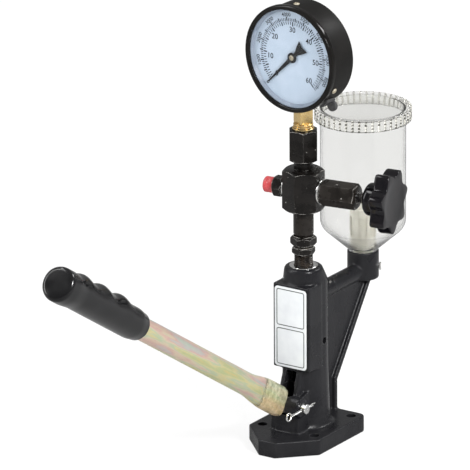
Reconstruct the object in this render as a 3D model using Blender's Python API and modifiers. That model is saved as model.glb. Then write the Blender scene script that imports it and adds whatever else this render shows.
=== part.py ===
"""Hand pumped tester for diesel injectors, as an assembly of separate named pieces.

Frame: +Z up, origin under the foot on the axis of the pump column, the lever and
the label towards -Y, the shut off valve towards +X and the fuel cup towards +Y.
"""

import math

import bmesh
import bpy
from mathutils import Matrix, Vector

# Clearances and cutting
GAP = 0.0003
OVERRUN = 0.003
RUN_CLEARANCE = 0.0004

# Foot plate of the casting
FOOT_WIDTH = 0.071
FOOT_FRONT = 0.058
FOOT_BACK = 0.0435
FOOT_THICKNESS = 0.014
FOOT_NOSE_WIDTH = 0.016
FOOT_CORNER_CUT = 0.0275
FOOT_BACK_CORNER_RADIUS = 0.007
FOOT_EDGE_BEVEL = 0.0012
BENCH_HOLE_RADIUS = 0.00425
FRONT_HOLE_X = 0.026
FRONT_HOLE_Y = 0.024
BACK_HOLE_X = 0.026
BACK_HOLE_Y = 0.033

# Pump column, from the foot up
COLUMN_FLARE_RADIUS = 0.0225
COLUMN_FLARE_HEIGHT = 0.009
COLUMN_FOOT_RADIUS = 0.0192
COLUMN_WAIST_RADIUS = 0.0178
COLUMN_WAIST_Z = 0.068
COLUMN_NECK_RADIUS = 0.0176
COLUMN_NECK_Z = 0.1405
COLUMN_TOP_RADIUS = 0.0165
COLUMN_TOP_Z = 0.154
COLUMN_TOP_ROUND = 0.0028
COLUMN_DRAW_BACK = 0.005
BARREL_BORE_RADIUS = 0.0115
TAPPET_BORE_RADIUS = 0.0105
CHAMBER_FLOOR_Z = 0.0205
BARREL_SHOULDER_Z = 0.092
LEAK_HOLE_RADIUS = 0.0031
LEAK_HOLE_Z = 0.0885

# Box on the front of the column, which carries the plate
BOX_HALF_WIDTH = 0.018
BOX_FRONT = 0.0196
BOX_LOW_Z = 0.0665
BOX_TOP_INSET = 0.013
BOX_HIGH_Z = COLUMN_TOP_Z - BOX_TOP_INSET
BOX_EDGE_BEVEL = 0.0018
PLATE_WIDTH = 0.0315
PLATE_HEIGHT = 0.071
PLATE_THICKNESS = 0.0007
PLATE_CORNER_RADIUS = 0.003

# Cheeks each side of the lever, under the box
CHEEK_HALF_WIDTH = 0.0092
CHEEK_RIB_HALF_WIDTH = 0.0138
CHEEK_TOP_FRONT = 0.0190
CHEEK_MIDDLE_FRONT = 0.0245
CHEEK_MIDDLE_Z = 0.0495
CHEEK_LOW_FRONT = 0.029
CHEEK_LOW_Z = 0.033
CHEEK_FOOT_FRONT = 0.032
SLOT_HALF_WIDTH = 0.006
SLOT_TOP_Z = 0.064
EAR_RADIUS = 0.0085
EAR_HALF_WIDTH = 0.018

# Oil arm, cup boss and rear web
ARM_Z = 0.1235
ARM_RADIUS = 0.0072
CUP_AXIS_Y = 0.0925
BOSS_RADIUS = 0.0135
BOSS_LOW_Z = 0.1163
BOSS_HIGH_Z = 0.141
BOSS_BORE_RADIUS = 0.0103
BOSS_BORE_FLOOR_Z = 0.1185
OIL_PASSAGE_RADIUS = 0.0018
WEB_THICKNESS = 0.006
WEB_FLANGE_WIDTH = 0.013
WEB_FLANGE_THICKNESS = 0.0045
WEB_BACK_LOW_Y = 0.0425
WEB_BACK_LOW_Z = 0.040
PLUG_AXIS_Z = 0.126
PLUG_HEAD_RADIUS = 0.0034
PLUG_HEAD_HEIGHT = 0.0016
PLUG_SHANK_RADIUS = 0.0019
PLUG_SHANK_LENGTH = 0.0024
PLUG_SOCKET_RADIUS = 0.0015
PLUG_SOCKET_DEPTH = 0.0010
PLUG_TURN = math.radians(32.0)

# Lever: the pivot, the angles and the lengths along the lever from the pivot
PIVOT_Y = -0.030
PIVOT_Z = 0.0385
LEVER_RAISE = math.radians(31.8)
LEVER_SWING = math.radians(34.5)
PIN_RADIUS = 0.00425
PIN_RIGHT_END = 0.0228
PIN_HEAD_RADIUS = 0.0062
PIN_HEAD_HEIGHT = 0.003
PIN_END_BEVEL = 0.0006
LEVER_HUB_RADIUS = 0.0070
LEVER_HUB_HALF_WIDTH = 0.0052
LEVER_NOSE_RADIUS = 0.006
LEVER_NECK_HALF_WIDTH = 0.0026
LEVER_ARC_STEPS = 12
TANG_START = 0.0045
TANG_END = 0.038
TANG_HALF_HEIGHT = 0.0074
TANG_HALF_THICKNESS = 0.0027
TUBE_START = 0.0074
TUBE_WALL = 0.0018
TUBE_RADIUS = 0.0098
TUBE_FLAT_HALF_THICKNESS = 0.0052
TUBE_FLAT_HALF_HEIGHT = 0.0131
TUBE_MOUTH_HALF_HEIGHT = 0.0118
TUBE_FLAT_START = 0.013
TUBE_FLAT_END = 0.036
TUBE_CREASE = 0.050
TUBE_CREASE_DEPTH = 0.0007
TUBE_CREASE_LENGTH = 0.003
TUBE_ROUND_START = 0.074
TUBE_FLAT_POWER = 3.4
TUBE_ROUND_POWER = 2.0
GRIP_END = 0.394
GRIP_LENGTH = 0.135
GRIP_END_WALL = 0.018
GRIP_RADIUS = 0.0137
GRIP_MOUTH_RADIUS = 0.0124
GRIP_KNOB_RADIUS = 0.0150
GRIP_EDGE_ROUND = 0.004
GRIP_BUMP_HEIGHT = 0.0032
GRIP_BUMP_WIDENING_SHARE = 0.06
GRIP_FIRST_BUMP_INSET = 0.040
GRIP_BUMP_SPACING = 0.031
GRIP_BUMPS = 3
GRIP_START = GRIP_END - GRIP_LENGTH
GRIP_FIRST_BUMP = GRIP_START + GRIP_FIRST_BUMP_INSET
TUBE_END = GRIP_END - GRIP_END_WALL

# Split pin through the end of the pivot pin
COTTER_RADIUS = 0.0013
COTTER_EYE_OPENING = math.radians(24.0)
COTTER_TAIL_STEPS = 3
COTTER_HOLE_RADIUS = 0.0017
COTTER_X = 0.0204
COTTER_EYE_Y = -0.0545
COTTER_EYE_RADIUS = 0.0030
COTTER_BEND_Y = -0.024
COTTER_TAIL_X = 0.0213
COTTER_TAIL_Y = -0.0150

# Tappet, plunger and return spring
TAPPET_RADIUS = 0.0101
TAPPET_FLOOR = 0.006
TAPPET_HEIGHT = 0.0155
TAPPET_WALL = 0.0012
PLUNGER_RADIUS = 0.005
PLUNGER_FOOT_RADIUS = 0.006
PLUNGER_FOOT_HEIGHT = 0.003
PLUNGER_NECK_RADIUS = 0.003
PLUNGER_TOP_Z = 0.1215
SEAT_RADIUS = 0.0086
SEAT_THICKNESS = 0.0028
SPRING_WIRE_RADIUS = 0.001
SPRING_COIL_RADIUS = 0.0073
SPRING_TURNS = 7
SPRING_END_TURN_RISE = 0.0026

# Pump barrel and delivery valve
BARREL_WALL_RADIUS = 0.0112
BARREL_TOP_Z = 0.144
BARREL_PLUNGER_BORE = 0.0053
BARREL_GROOVE_HALF_HEIGHT = 0.0035
BARREL_GROOVE_DEPTH = 0.0010
VALVE_SEAT_THICKNESS = 0.0025
VALVE_SEAT_HOLE_RADIUS = 0.0018
VALVE_BALL_RADIUS = 0.003
VALVE_POCKET_RADIUS = 0.0038
VALVE_POCKET_TOP_Z = 0.1610
VALVE_SPRING_WIRE_RADIUS = 0.0004
VALVE_SPRING_COIL_RADIUS = 0.0024
VALVE_SPRING_TURNS = 4
VALVE_SPRING_END_TURN_RISE = 0.0016
HOLDER_FLANGE_HEIGHT = 0.0034
HOLDER_SHANK_RADIUS = 0.0080
HOLDER_TOP_Z = 0.176
COLLAR_RING_RADIUS = 0.0121
COLLAR_RING_THICKNESS = 0.0016
COLLAR_RECESS_DEPTH = 0.0014
FUEL_BORE_RADIUS = 0.0015

# Nuts and riser above the column
LOCK_NUT_LOW_Z = 0.1638
LOCK_NUT_HEIGHT = 0.0078
LOCK_NUT_FLATS = 0.0174
UNION_NUT_HEIGHT = 0.0087
UNION_NUT_FLATS = 0.0196
UNION_LIP_HEIGHT = 0.0034
RISER_NECK_RADIUS = 0.0068
RISER_COLLAR_HEIGHT = 0.0010
RISER_RADIUS = 0.0086
BAR_CHAMFER_SHARE = 0.10
NUT_CHAMFER_SHARE = 0.16
LOCK_NUT_TURN = math.radians(12.0)
UNION_NUT_TURN = math.radians(4.0)

# Cross block and its ports
BLOCK_FLATS = 0.0315
BLOCK_LOW_Z = 0.2036
BLOCK_HIGH_Z = 0.2394
BLOCK_TURN = math.radians(8.4)
PORT_AXIS_Z = 0.2212
PORT_RADIUS = 0.0065
PORT_DEPTH = 0.007

# Gauge adapter, sealing washer and brass socket
ADAPTER_NECK_RADIUS = 0.0080
ADAPTER_NECK_HEIGHT = 0.0076
ADAPTER_FLATS = 0.0232
ADAPTER_TOP_Z = 0.2746
ADAPTER_TURN = math.radians(33.5)
ADAPTER_SOCKET_RADIUS = 0.0066
ADAPTER_SOCKET_DEPTH = 0.012
GAUGE_WASHER_RADIUS = 0.0094
GAUGE_WASHER_THICKNESS = 0.0015
SOCKET_RADIUS = 0.0084
SOCKET_SQUARE = 0.0122
SOCKET_CORNER_RADIUS = 0.0008
SOCKET_TURN = math.radians(-28.0)
SOCKET_GROOVE_DEPTH = 0.0012
SOCKET_GROOVE_HEIGHT = 0.0008
SOCKET_RING_HEIGHT = 0.0011
SOCKET_RINGS = 2
CASE_LOW_Z = 0.2957
SOCKET_IN_CASE = 0.0133
SOCKET_TOP_Z = CASE_LOW_Z + SOCKET_IN_CASE

# Pressure gauge, measured along its own axis from the axis of the socket
GAUGE_TURN = math.radians(-5.1)
CASE_RADIUS = 0.045
GAUGE_Z = CASE_LOW_Z + CASE_RADIUS
CASE_WALL = 0.0008
CASE_BACK = 0.0115
CASE_FRONT = 0.0148
CASE_BACK_ROUND = 0.003
BEZEL_OVERHANG = 0.0015
BEZEL_RADIUS = CASE_RADIUS + BEZEL_OVERHANG
BEZEL_SKIRT_WALL = 0.0010
BEZEL_BORE_RADIUS = CASE_RADIUS - CASE_WALL - GAP - BEZEL_SKIRT_WALL
BEZEL_LIP_REACH = 0.0006
BEZEL_OPENING_RADIUS = BEZEL_BORE_RADIUS - BEZEL_LIP_REACH
BEZEL_FRONT = 0.0198
BEZEL_LIP = 0.0010
BEZEL_SKIRT_BACK = 0.005
BEZEL_ROUND = 0.0014
WINDOW_THICKNESS = 0.0015
DIAL_FRONT = 0.0138
DIAL_THICKNESS = 0.0008
ARBOR_RADIUS = 0.0010
ARBOR_BACK = 0.0012
PINION_RADIUS = 0.0022
PINION_LENGTH = 0.003
NEEDLE_BACK = 0.0148
NEEDLE_THICKNESS = 0.0006
NEEDLE_TIP_INSET = 0.0047
NEEDLE_LENGTH = BEZEL_OPENING_RADIUS - NEEDLE_TIP_INSET
NEEDLE_ROOT_HALF_WIDTH = 0.0018
NEEDLE_TIP_HALF_WIDTH = 0.0004
NEEDLE_TAIL_LENGTH = 0.0185
NEEDLE_TAIL_HALF_WIDTH = 0.0052
NEEDLE_NECK_SHARE = 0.42
NEEDLE_NOTCH_SHARE = 0.9
NEEDLE_WAIST_SHARE = 0.85
NEEDLE_HUB_RADIUS = 0.0045
NEEDLE_CAP_RADIUS = 0.0027
NEEDLE_CAP_TOP_RADIUS = 0.0022
NEEDLE_CAP_HEIGHT = 0.0007
NEEDLE_ZERO = math.radians(225.0)
MOVEMENT_WIDTH = 0.026
MOVEMENT_HEIGHT = 0.016
MOVEMENT_PLATE = 0.0014
MOVEMENT_DEPTH = 0.0100
MOVEMENT_STEM_WIDTH = 0.010
BOURDON_INSET = 0.015
BOURDON_RADIUS = CASE_RADIUS - BOURDON_INSET
BOURDON_TUBE_RADIUS = 0.0028
BOURDON_START = math.radians(-114.0)
BOURDON_SWEEP = math.radians(216.0)
RIM_SCREW_HEAD_RADIUS = 0.0026
RIM_SCREW_HEAD_HEIGHT = 0.0016
RIM_SCREW_SHANK_RADIUS = 0.0012
RIM_SCREW_AXIAL = 0.0085
RIM_SCREWS = 3
VENT_PLUG_TURN = math.radians(-52.0)
VENT_DISC_RADIUS = 0.0047
VENT_DISC_THICKNESS = 0.003
VENT_STAND_OFF = 0.0052
VENT_DISC_REACH = CASE_RADIUS + VENT_STAND_OFF
VENT_NECK_WIDTH = 0.0036
VENT_PAD_LENGTH = 0.010
VENT_PAD_THICKNESS = 0.0022
VENT_PAD_AXIAL = 0.009

# Shut off valve, measured along its arm from the axis of the column
ARM_WASHER_RADIUS = 0.0108
ARM_WASHER_THICKNESS = 0.0016
BONNET_FLATS = 0.0198
BONNET_END = 0.0500
BONNET_TURN = math.radians(10.0)
SPINDLE_RADIUS = 0.0048
SPINDLE_TIP = 0.0215
SPINDLE_CONE_LENGTH = 0.0045
SPINDLE_TIP_RADIUS = 0.0012
SPINDLE_BORE_RADIUS = 0.0052
BONNET_POCKET_RADIUS = 0.0020
KNOB_HUB_START = 0.0585
KNOB_HUB_RADIUS = 0.0140
KNOB_HUB_ROUND = 0.004
KNOB_STAR_START = 0.0705
KNOB_STAR_END = 0.0835
KNOB_TIP_RADIUS = 0.0278
KNOB_FLUTE_DEPTH = 0.0062
KNOB_FLUTE_POWER = 1.6
KNOB_EDGE_ROUND = 0.0018
KNOB_DISH_DEPTH = 0.0009
KNOB_DISH_INSET = 0.0027
KNOB_LOBES = 7
KNOB_LOBE_STEPS = 6
KNOB_TURN = math.radians(-4.0)
KNOB_SOCKET_DEPTH = 0.010

# Outlet on the left arm
OUTLET_FLATS = 0.0160
OUTLET_HEX_END = 0.0262
OUTLET_WASHER_RADIUS = 0.0080
OUTLET_WASHER_THICKNESS = 0.0013
OUTLET_SPIGOT_RADIUS = 0.0050
OUTLET_NOSE_RADIUS = 0.0054
OUTLET_NOSE_LENGTH = 0.0072
OUTLET_NOSE_END = OUTLET_HEX_END + OUTLET_NOSE_LENGTH
OUTLET_EDGE = 0.0011
CAP_RADIUS = 0.0068
CAP_WALL = 0.0010
CAP_END = 0.0352
CAP_RIB_DEPTH = 0.0005

# Fuel cup, strainer and lid
CUP_RADIUS = 0.0365
CUP_WALL = 0.0018
CUP_NECK_RADIUS = 0.0100
CUP_NECK_LOW_Z = 0.1255
CUP_FUNNEL_LOW_RADIUS = 0.0136
CUP_FUNNEL_LOW_Z = 0.1430
CUP_FUNNEL_HIGH_Z = 0.1635
CUP_SHOULDER_ROUND = 0.005
CUP_HIGH_Z = 0.2662
LID_RADIUS = 0.0414
LID_LOW_Z = 0.2580
LID_HIGH_Z = 0.2692
LID_RIB_DEPTH = 0.0014
LID_RIB_LOW_INSET = 0.0010
LID_RIBS = 46
LID_RIB_FOOT_SHARES = (0.0, 0.46)
LID_RIB_TOP_SHARES = (0.54, 0.92)
LID_RIM_WIDTH = 0.0036
LID_RIM_HEIGHT = 0.0007
STRAINER_RADIUS = 0.0112
STRAINER_HIGH_Z = 0.1800
STRAINER_WALL = 0.0012
STRAINER_SPIGOT_LENGTH = 0.011
STRAINER_WINDOWS = 6
STRAINER_WINDOW_HEIGHT = 0.020
STRAINER_WINDOW_WIDTH = 0.0075

# Facets and steps along curves
FINE = 32
HEXAGON_FACETS = 24
MEDIUM = 18
SMALL = 12
TINY = 8
CORNER_STEPS = 3
SPRING_STEPS = 8
GRIP_STEPS = 20
GRIP_END_SHARES = (0.6, 0.25, 0.0)
FLARE_SHARES = (1.0, 0.7, 0.4, 0.0)
ROUND_SHARES = (0.0, 0.35, 0.7, 1.0)
BOURDON_STEPS = 16
SHARP_ANGLE = math.radians(32.0)
WELD = 0.00001

# The inner arm of the lever reaches from the pivot to the axis of the column
INNER_ARM = -PIVOT_Y
INNER_ARM_DROP = LEVER_SWING / 2
NOSE_REST_Z = PIVOT_Z - INNER_ARM * math.sin(INNER_ARM_DROP)
TAPPET_LOW_Z = NOSE_REST_Z + LEVER_NOSE_RADIUS + GAP
PLUNGER_FOOT_Z = TAPPET_LOW_Z + TAPPET_FLOOR + GAP
SEAT_LOW_Z = PLUNGER_FOOT_Z + PLUNGER_FOOT_HEIGHT + GAP
SEAT_HIGH_Z = SEAT_LOW_Z + SEAT_THICKNESS

# The delivery valve stands on the barrel, with the ball in the hole of its seat
VALVE_SEAT_Z = BARREL_TOP_Z + GAP
VALVE_SEAT_HIGH_Z = VALVE_SEAT_Z + VALVE_SEAT_THICKNESS
VALVE_BALL_Z = VALVE_SEAT_HIGH_Z + math.sqrt(VALVE_BALL_RADIUS**2 - VALVE_SEAT_HOLE_RADIUS**2) + GAP

# The funnel of the cup: its slope, and how far the inner floor rises above the outer one
CUP_SLOPE = math.atan2(CUP_RADIUS - CUP_FUNNEL_LOW_RADIUS, CUP_FUNNEL_HIGH_Z - CUP_FUNNEL_LOW_Z)
CUP_FLOOR_RISE = CUP_WALL * math.tan(CUP_SLOPE / 2)
CUP_BORE_RADIUS = CUP_NECK_RADIUS - CUP_WALL

# Places on the gauge's axis that more than one of its pieces needs
MOVEMENT_BACK = ARBOR_BACK - MOVEMENT_PLATE / 2
NEEDLE_FRONT = NEEDLE_BACK + NEEDLE_THICKNESS


def clear_scene():
    for obj in list(bpy.data.objects):
        bpy.data.objects.remove(obj, do_unlink=True)


def new_collection(name):
    collection = bpy.data.collections.new(name)
    bpy.context.scene.collection.children.link(collection)
    return collection


def new_material(name, color, roughness, metallic=0.0, alpha=1.0):
    material = bpy.data.materials.new(name)
    material.use_nodes = True
    shader = material.node_tree.nodes["Principled BSDF"]
    shader.inputs["Base Color"].default_value = (*color, 1.0)
    shader.inputs["Roughness"].default_value = roughness
    shader.inputs["Metallic"].default_value = metallic
    shader.inputs["Alpha"].default_value = alpha
    material.diffuse_color = (*color, alpha)
    return material


def new_frame(name, matrix):
    """An empty that carries a group of pieces on their own axis."""
    empty = bpy.data.objects.new(name, None)
    empty.matrix_world = matrix
    PARTS.objects.link(empty)
    return empty


def put_in(obj, collection, parent=None):
    collection.objects.link(obj)
    if parent is not None:
        obj.parent = parent


def finished(obj, material, parent=None):
    """Turns a shape into one of the object's pieces."""
    put_in(obj, PARTS, parent)
    obj.data.materials.append(material)
    return obj


def helper(obj, parent=None):
    """Turns a shape into a tool for a Boolean, which isn't rendered."""
    put_in(obj, CUTTERS, parent)
    obj.hide_render = True
    obj.display_type = "WIRE"
    return obj


def tidy_mesh(mesh):
    """Welds, turns the faces outwards and marks the sharp edges."""
    work = bmesh.new()
    work.from_mesh(mesh)
    bmesh.ops.remove_doubles(work, verts=work.verts, dist=WELD)
    bmesh.ops.recalc_face_normals(work, faces=work.faces)
    work.to_mesh(mesh)
    work.free()
    mesh.shade_smooth()
    mesh.set_sharp_from_angle(angle=SHARP_ANGLE)
    return mesh


def baked(obj, name):
    """The object's evaluated shape as a new mesh object, and the object itself removed."""
    bpy.context.scene.collection.objects.link(obj)
    bpy.context.view_layer.update()
    graph = bpy.context.evaluated_depsgraph_get()
    mesh = bpy.data.meshes.new_from_object(obj.evaluated_get(graph))
    bpy.data.objects.remove(obj, do_unlink=True)
    return bpy.data.objects.new(name, tidy_mesh(mesh))


def turned(name, profile, segments=MEDIUM):
    """A profile of (radius, height) points, turned about Z. It runs down the outer side."""
    mesh = bpy.data.meshes.new(name)
    count = len(profile)
    open_ends = profile[0][0] == 0 and profile[-1][0] == 0
    edges = [(i, i + 1) for i in range(count - 1)]
    if not open_ends:
        edges.append((count - 1, 0))
    mesh.from_pydata([(radius, 0, height) for radius, height in profile], edges, [])
    obj = bpy.data.objects.new(name, mesh)
    screw = obj.modifiers.new("turn", "SCREW")
    screw.steps = segments
    screw.render_steps = segments
    screw.use_merge_vertices = True
    screw.merge_threshold = WELD
    return baked(obj, name)


def rod(name, radius, low, high, segments=MEDIUM):
    """A plain cylinder about Z."""
    mesh = bpy.data.meshes.new(name)
    work = bmesh.new()
    bmesh.ops.create_cone(
        work,
        cap_ends=True,
        segments=segments,
        radius1=radius,
        radius2=radius,
        depth=high - low,
        matrix=Matrix.Translation((0, 0, (low + high) / 2)),
    )
    work.to_mesh(mesh)
    work.free()
    return bpy.data.objects.new(name, tidy_mesh(mesh))


def ring(name, outer, inner, low, high, segments=MEDIUM):
    """A plain ring about Z."""
    profile = [(outer, high), (outer, low), (inner, low), (inner, high)]
    return turned(name, profile, segments)


def block(name, low, high, bevel=0.0):
    """A box between two corners, with rounded edges where a bevel is given."""
    mesh = bpy.data.meshes.new(name)
    work = bmesh.new()
    size = Vector(high) - Vector(low)
    middle = (Vector(high) + Vector(low)) / 2
    bmesh.ops.create_cube(work, size=1, matrix=Matrix.Translation(middle) @ Matrix.Diagonal((*size, 1)))
    work.to_mesh(mesh)
    work.free()
    obj = bpy.data.objects.new(name, mesh)
    if bevel:
        add_bevel(obj, bevel, segments=2)
        return baked(obj, name)
    tidy_mesh(mesh)
    return obj


def add_bevel(obj, width, segments=1, angle=SHARP_ANGLE):
    bevel = obj.modifiers.new("edges", "BEVEL")
    bevel.width = width
    bevel.segments = segments
    bevel.limit_method = "ANGLE"
    bevel.angle_limit = angle
    bevel.use_clamp_overlap = True
    return bevel


def arc_points(centre, radius, start, end, steps):
    """Points on an arc from one angle to another, both included."""
    return [
        (
            centre[0] + radius * math.cos(start + (end - start) * i / steps),
            centre[1] + radius * math.sin(start + (end - start) * i / steps),
        )
        for i in range(steps + 1)
    ]


def rounded_outline(corners):
    """Points of a polygon given anticlockwise as (x, y, corner radius)."""
    points = []
    count = len(corners)
    for i, (x, y, radius) in enumerate(corners):
        here = Vector((x, y))
        if not radius:
            points.append((x, y))
            continue
        before = (Vector(corners[i - 1][:2]) - here).normalized()
        after = (Vector(corners[(i + 1) % count][:2]) - here).normalized()
        half = before.angle(after) / 2
        middle = here + (before + after).normalized() * (radius / math.sin(half))
        first = here + before * (radius / math.tan(half)) - middle
        last = here + after * (radius / math.tan(half)) - middle
        start = math.atan2(first.y, first.x)
        sweep = (math.atan2(last.y, last.x) - start) % math.tau
        points += arc_points(middle, radius, start, start + sweep, CORNER_STEPS)
    return points


def plate(name, outline, low, high):
    """A flat outline of (x, y) points, given thickness along Z."""
    curve = bpy.data.curves.new(name, "CURVE")
    curve.dimensions = "2D"
    curve.fill_mode = "BOTH"
    curve.extrude = (high - low) / 2
    spline = curve.splines.new("POLY")
    spline.points.add(len(outline) - 1)
    for point, (x, y) in zip(spline.points, outline):
        point.co = (x, y, 0, 1)
    spline.use_cyclic_u = True
    obj = baked(bpy.data.objects.new(name, curve), name)
    obj.data.transform(Matrix.Translation((0, 0, (low + high) / 2)))
    return obj


def wire(name, points, radius, resolution=2):
    """A round wire along a list of points, with closed ends."""
    curve = bpy.data.curves.new(name, "CURVE")
    curve.dimensions = "3D"
    curve.bevel_depth = radius
    curve.bevel_resolution = resolution
    curve.use_fill_caps = True
    spline = curve.splines.new("POLY")
    spline.points.add(len(points) - 1)
    for point, place in zip(spline.points, points):
        point.co = (*place, 1)
    return baked(bpy.data.objects.new(name, curve), name)


def loft(name, rings, closed=False):
    """Skins rings of equal count. Closed joins the last ring to the first, as on a tube."""
    mesh = bpy.data.meshes.new(name)
    work = bmesh.new()
    rows = [[work.verts.new(point) for point in points] for points in rings]
    count = len(rows[0])
    pairs = list(zip(rows, rows[1:]))
    if closed:
        pairs.append((rows[-1], rows[0]))
    else:
        work.faces.new(rows[0])
        work.faces.new(rows[-1])
    for one, other in pairs:
        for i in range(count):
            j = (i + 1) % count
            work.faces.new((one[i], one[j], other[j], other[i]))
    work.to_mesh(mesh)
    work.free()
    return bpy.data.objects.new(name, tidy_mesh(mesh))


def moved(obj, matrix):
    """The same shape with its points moved, so that its origin stays on its axis."""
    obj.data.transform(matrix)
    return obj


def combine(obj, tool, operation):
    modifier = obj.modifiers.new(tool.name, "BOOLEAN")
    modifier.operation = operation
    modifier.object = tool
    return obj


def cut(obj, *tools):
    for tool in tools:
        combine(obj, tool, "DIFFERENCE")
    return obj


def fuse(obj, *tools):
    for tool in tools:
        combine(obj, tool, "UNION")
    return obj


def hexagon(flats, turn=0.0):
    """The corners of a hexagon, with a flat facing +X before it is turned."""
    radius = flats / math.sqrt(3)
    angles = [turn + math.radians(60 * i + 30) for i in range(6)]
    return [(radius * math.cos(angle), radius * math.sin(angle)) for angle in angles]


def hex_bar(name, flats, low, high, parent=None, turn=0.0, chamfer_share=BAR_CHAMFER_SHARE):
    """A hexagon bar along Z with both ends turned to a chamfer."""
    bar = plate(name, hexagon(flats, turn), low, high)
    corner = flats / math.sqrt(3)
    land = flats / 2 - corner * chamfer_share / 4
    drop = corner * chamfer_share
    profile = [
        (0, high),
        (land, high),
        (corner * (1 + chamfer_share), high - drop),
        (corner * (1 + chamfer_share), low + drop),
        (land, low),
        (0, low),
    ]
    turning = helper(turned(name + "_turning", profile, HEXAGON_FACETS), parent)
    combine(bar, turning, "INTERSECT")
    return bar


def helix(radius, turns, low, high, end_rise):
    """Points of a coil whose first and last turns rise slowly, as on a closed spring."""
    steps = turns * SPRING_STEPS
    middle_rise = high - low - 2 * end_rise
    points = []
    for i in range(steps + 1):
        turn = i / SPRING_STEPS
        first = min(turn, 1)
        last = max(turn - (turns - 1), 0)
        middle = min(max(turn - 1, 0), turns - 2)
        height = low + first * end_rise + middle * middle_rise / (turns - 2) + last * end_rise
        angle = turn * math.tau
        points.append((radius * math.cos(angle), radius * math.sin(angle), height))
    return points


def least_gap(points, wire_radius):
    """The least gap between one stretch of a coil and the stretches a half turn or more away."""
    least = math.inf
    for i, one in enumerate(points):
        for other in points[i + SPRING_STEPS // 2 :]:
            least = min(least, math.dist(one, other) - 2 * wire_radius)
    return least


SIDEWAYS = Matrix.Rotation(math.radians(90), 4, "Z") @ Matrix.Rotation(math.radians(90), 4, "X")
ACROSS = Matrix.Rotation(math.radians(90), 4, "Y")
BACKWARDS = Matrix.Rotation(math.radians(-90), 4, "X")
AT_PIVOT = Matrix.Translation((0, PIVOT_Y, PIVOT_Z))
AT_CUP = Matrix.Translation((0, CUP_AXIS_Y, 0))
AT_ARM = Matrix.Translation((0, 0, ARM_Z))
INSIDE_FOOT = FOOT_THICKNESS / 2


def foot_outline():
    """The foot from above: square behind with rounded corners, cut to a narrow nose in front."""
    half = FOOT_WIDTH / 2
    shoulder = -FOOT_FRONT + FOOT_CORNER_CUT
    nose = FOOT_NOSE_WIDTH / 2
    return rounded_outline(
        [
            (-nose, -FOOT_FRONT, 0),
            (nose, -FOOT_FRONT, 0),
            (half, shoulder, 0),
            (half, FOOT_BACK, FOOT_BACK_CORNER_RADIUS),
            (-half, FOOT_BACK, FOOT_BACK_CORNER_RADIUS),
            (-half, shoulder, 0),
        ]
    )


def drawn_back(column):
    """Moves the back half of the column back, fully up to its neck and not at all at its crown."""
    work = bmesh.new()
    work.from_mesh(column.data)
    crown_z = COLUMN_TOP_Z - COLUMN_TOP_ROUND
    for vertex in work.verts:
        if vertex.co.y > WELD:
            fading = (crown_z - vertex.co.z) / (crown_z - COLUMN_NECK_Z)
            vertex.co.y += COLUMN_DRAW_BACK * min(max(fading, 0), 1)
    bmesh.ops.triangulate(work, faces=work.faces)
    work.to_mesh(column.data)
    work.free()
    return column


def cast_column():
    """The column, flared at the foot and round at the top, and a little longer than wide between."""
    flare = [
        (
            COLUMN_FLARE_RADIUS - (COLUMN_FLARE_RADIUS - COLUMN_FOOT_RADIUS) * math.sin(step * math.pi / 2),
            FOOT_THICKNESS + COLUMN_FLARE_HEIGHT * (1 - math.cos(step * math.pi / 2)),
        )
        for step in FLARE_SHARES
    ]
    crown = [
        (
            COLUMN_TOP_RADIUS - COLUMN_TOP_ROUND * (1 - math.sin(step * math.pi / 2)),
            COLUMN_TOP_Z - COLUMN_TOP_ROUND * (1 - math.cos(step * math.pi / 2)),
        )
        for step in ROUND_SHARES
    ]
    middle = [(COLUMN_NECK_RADIUS, COLUMN_NECK_Z), (COLUMN_WAIST_RADIUS, COLUMN_WAIST_Z)]
    low = [(COLUMN_FLARE_RADIUS, INSIDE_FOOT), (0, INSIDE_FOOT)]
    column = turned("column", [(0, COLUMN_TOP_Z)] + crown + middle + flare + low, FINE)
    return helper(drawn_back(column))


def label_box():
    """The box on the front of the column."""
    low = (-BOX_HALF_WIDTH, -BOX_FRONT, BOX_LOW_Z)
    high = (BOX_HALF_WIDTH, 0, BOX_HIGH_Z)
    return helper(block("label_box", low, high, BOX_EDGE_BEVEL))


def cast_cheeks():
    """The cheeks under the box, as they step out towards the foot, and the wider rib under the ears."""
    inside_box = BOX_LOW_Z + BOX_EDGE_BEVEL * 2
    top_front = -CHEEK_TOP_FRONT + BOX_EDGE_BEVEL
    side_view = [
        (0, INSIDE_FOOT),
        (0, inside_box),
        (top_front, inside_box),
        (top_front, BOX_LOW_Z - BOX_EDGE_BEVEL),
        (-CHEEK_MIDDLE_FRONT, CHEEK_MIDDLE_Z),
        (-CHEEK_LOW_FRONT, CHEEK_LOW_Z),
        (-CHEEK_FOOT_FRONT, INSIDE_FOOT),
    ]
    rib_front = -CHEEK_FOOT_FRONT + FOOT_EDGE_BEVEL
    rib_high = PIVOT_Z + EAR_RADIUS / 2
    rib_view = [
        (0, INSIDE_FOOT),
        (0, rib_high + EAR_RADIUS),
        (PIVOT_Y, rib_high),
        (rib_front + FOOT_EDGE_BEVEL, CHEEK_LOW_Z - FOOT_EDGE_BEVEL),
        (rib_front, INSIDE_FOOT),
    ]
    half = CHEEK_HALF_WIDTH
    rib_half = CHEEK_RIB_HALF_WIDTH
    cheeks = helper(moved(plate("cheeks", side_view, -half, half), SIDEWAYS))
    rib = helper(moved(plate("ear_rib", rib_view, -rib_half, rib_half), SIDEWAYS))
    return cheeks, rib


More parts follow.
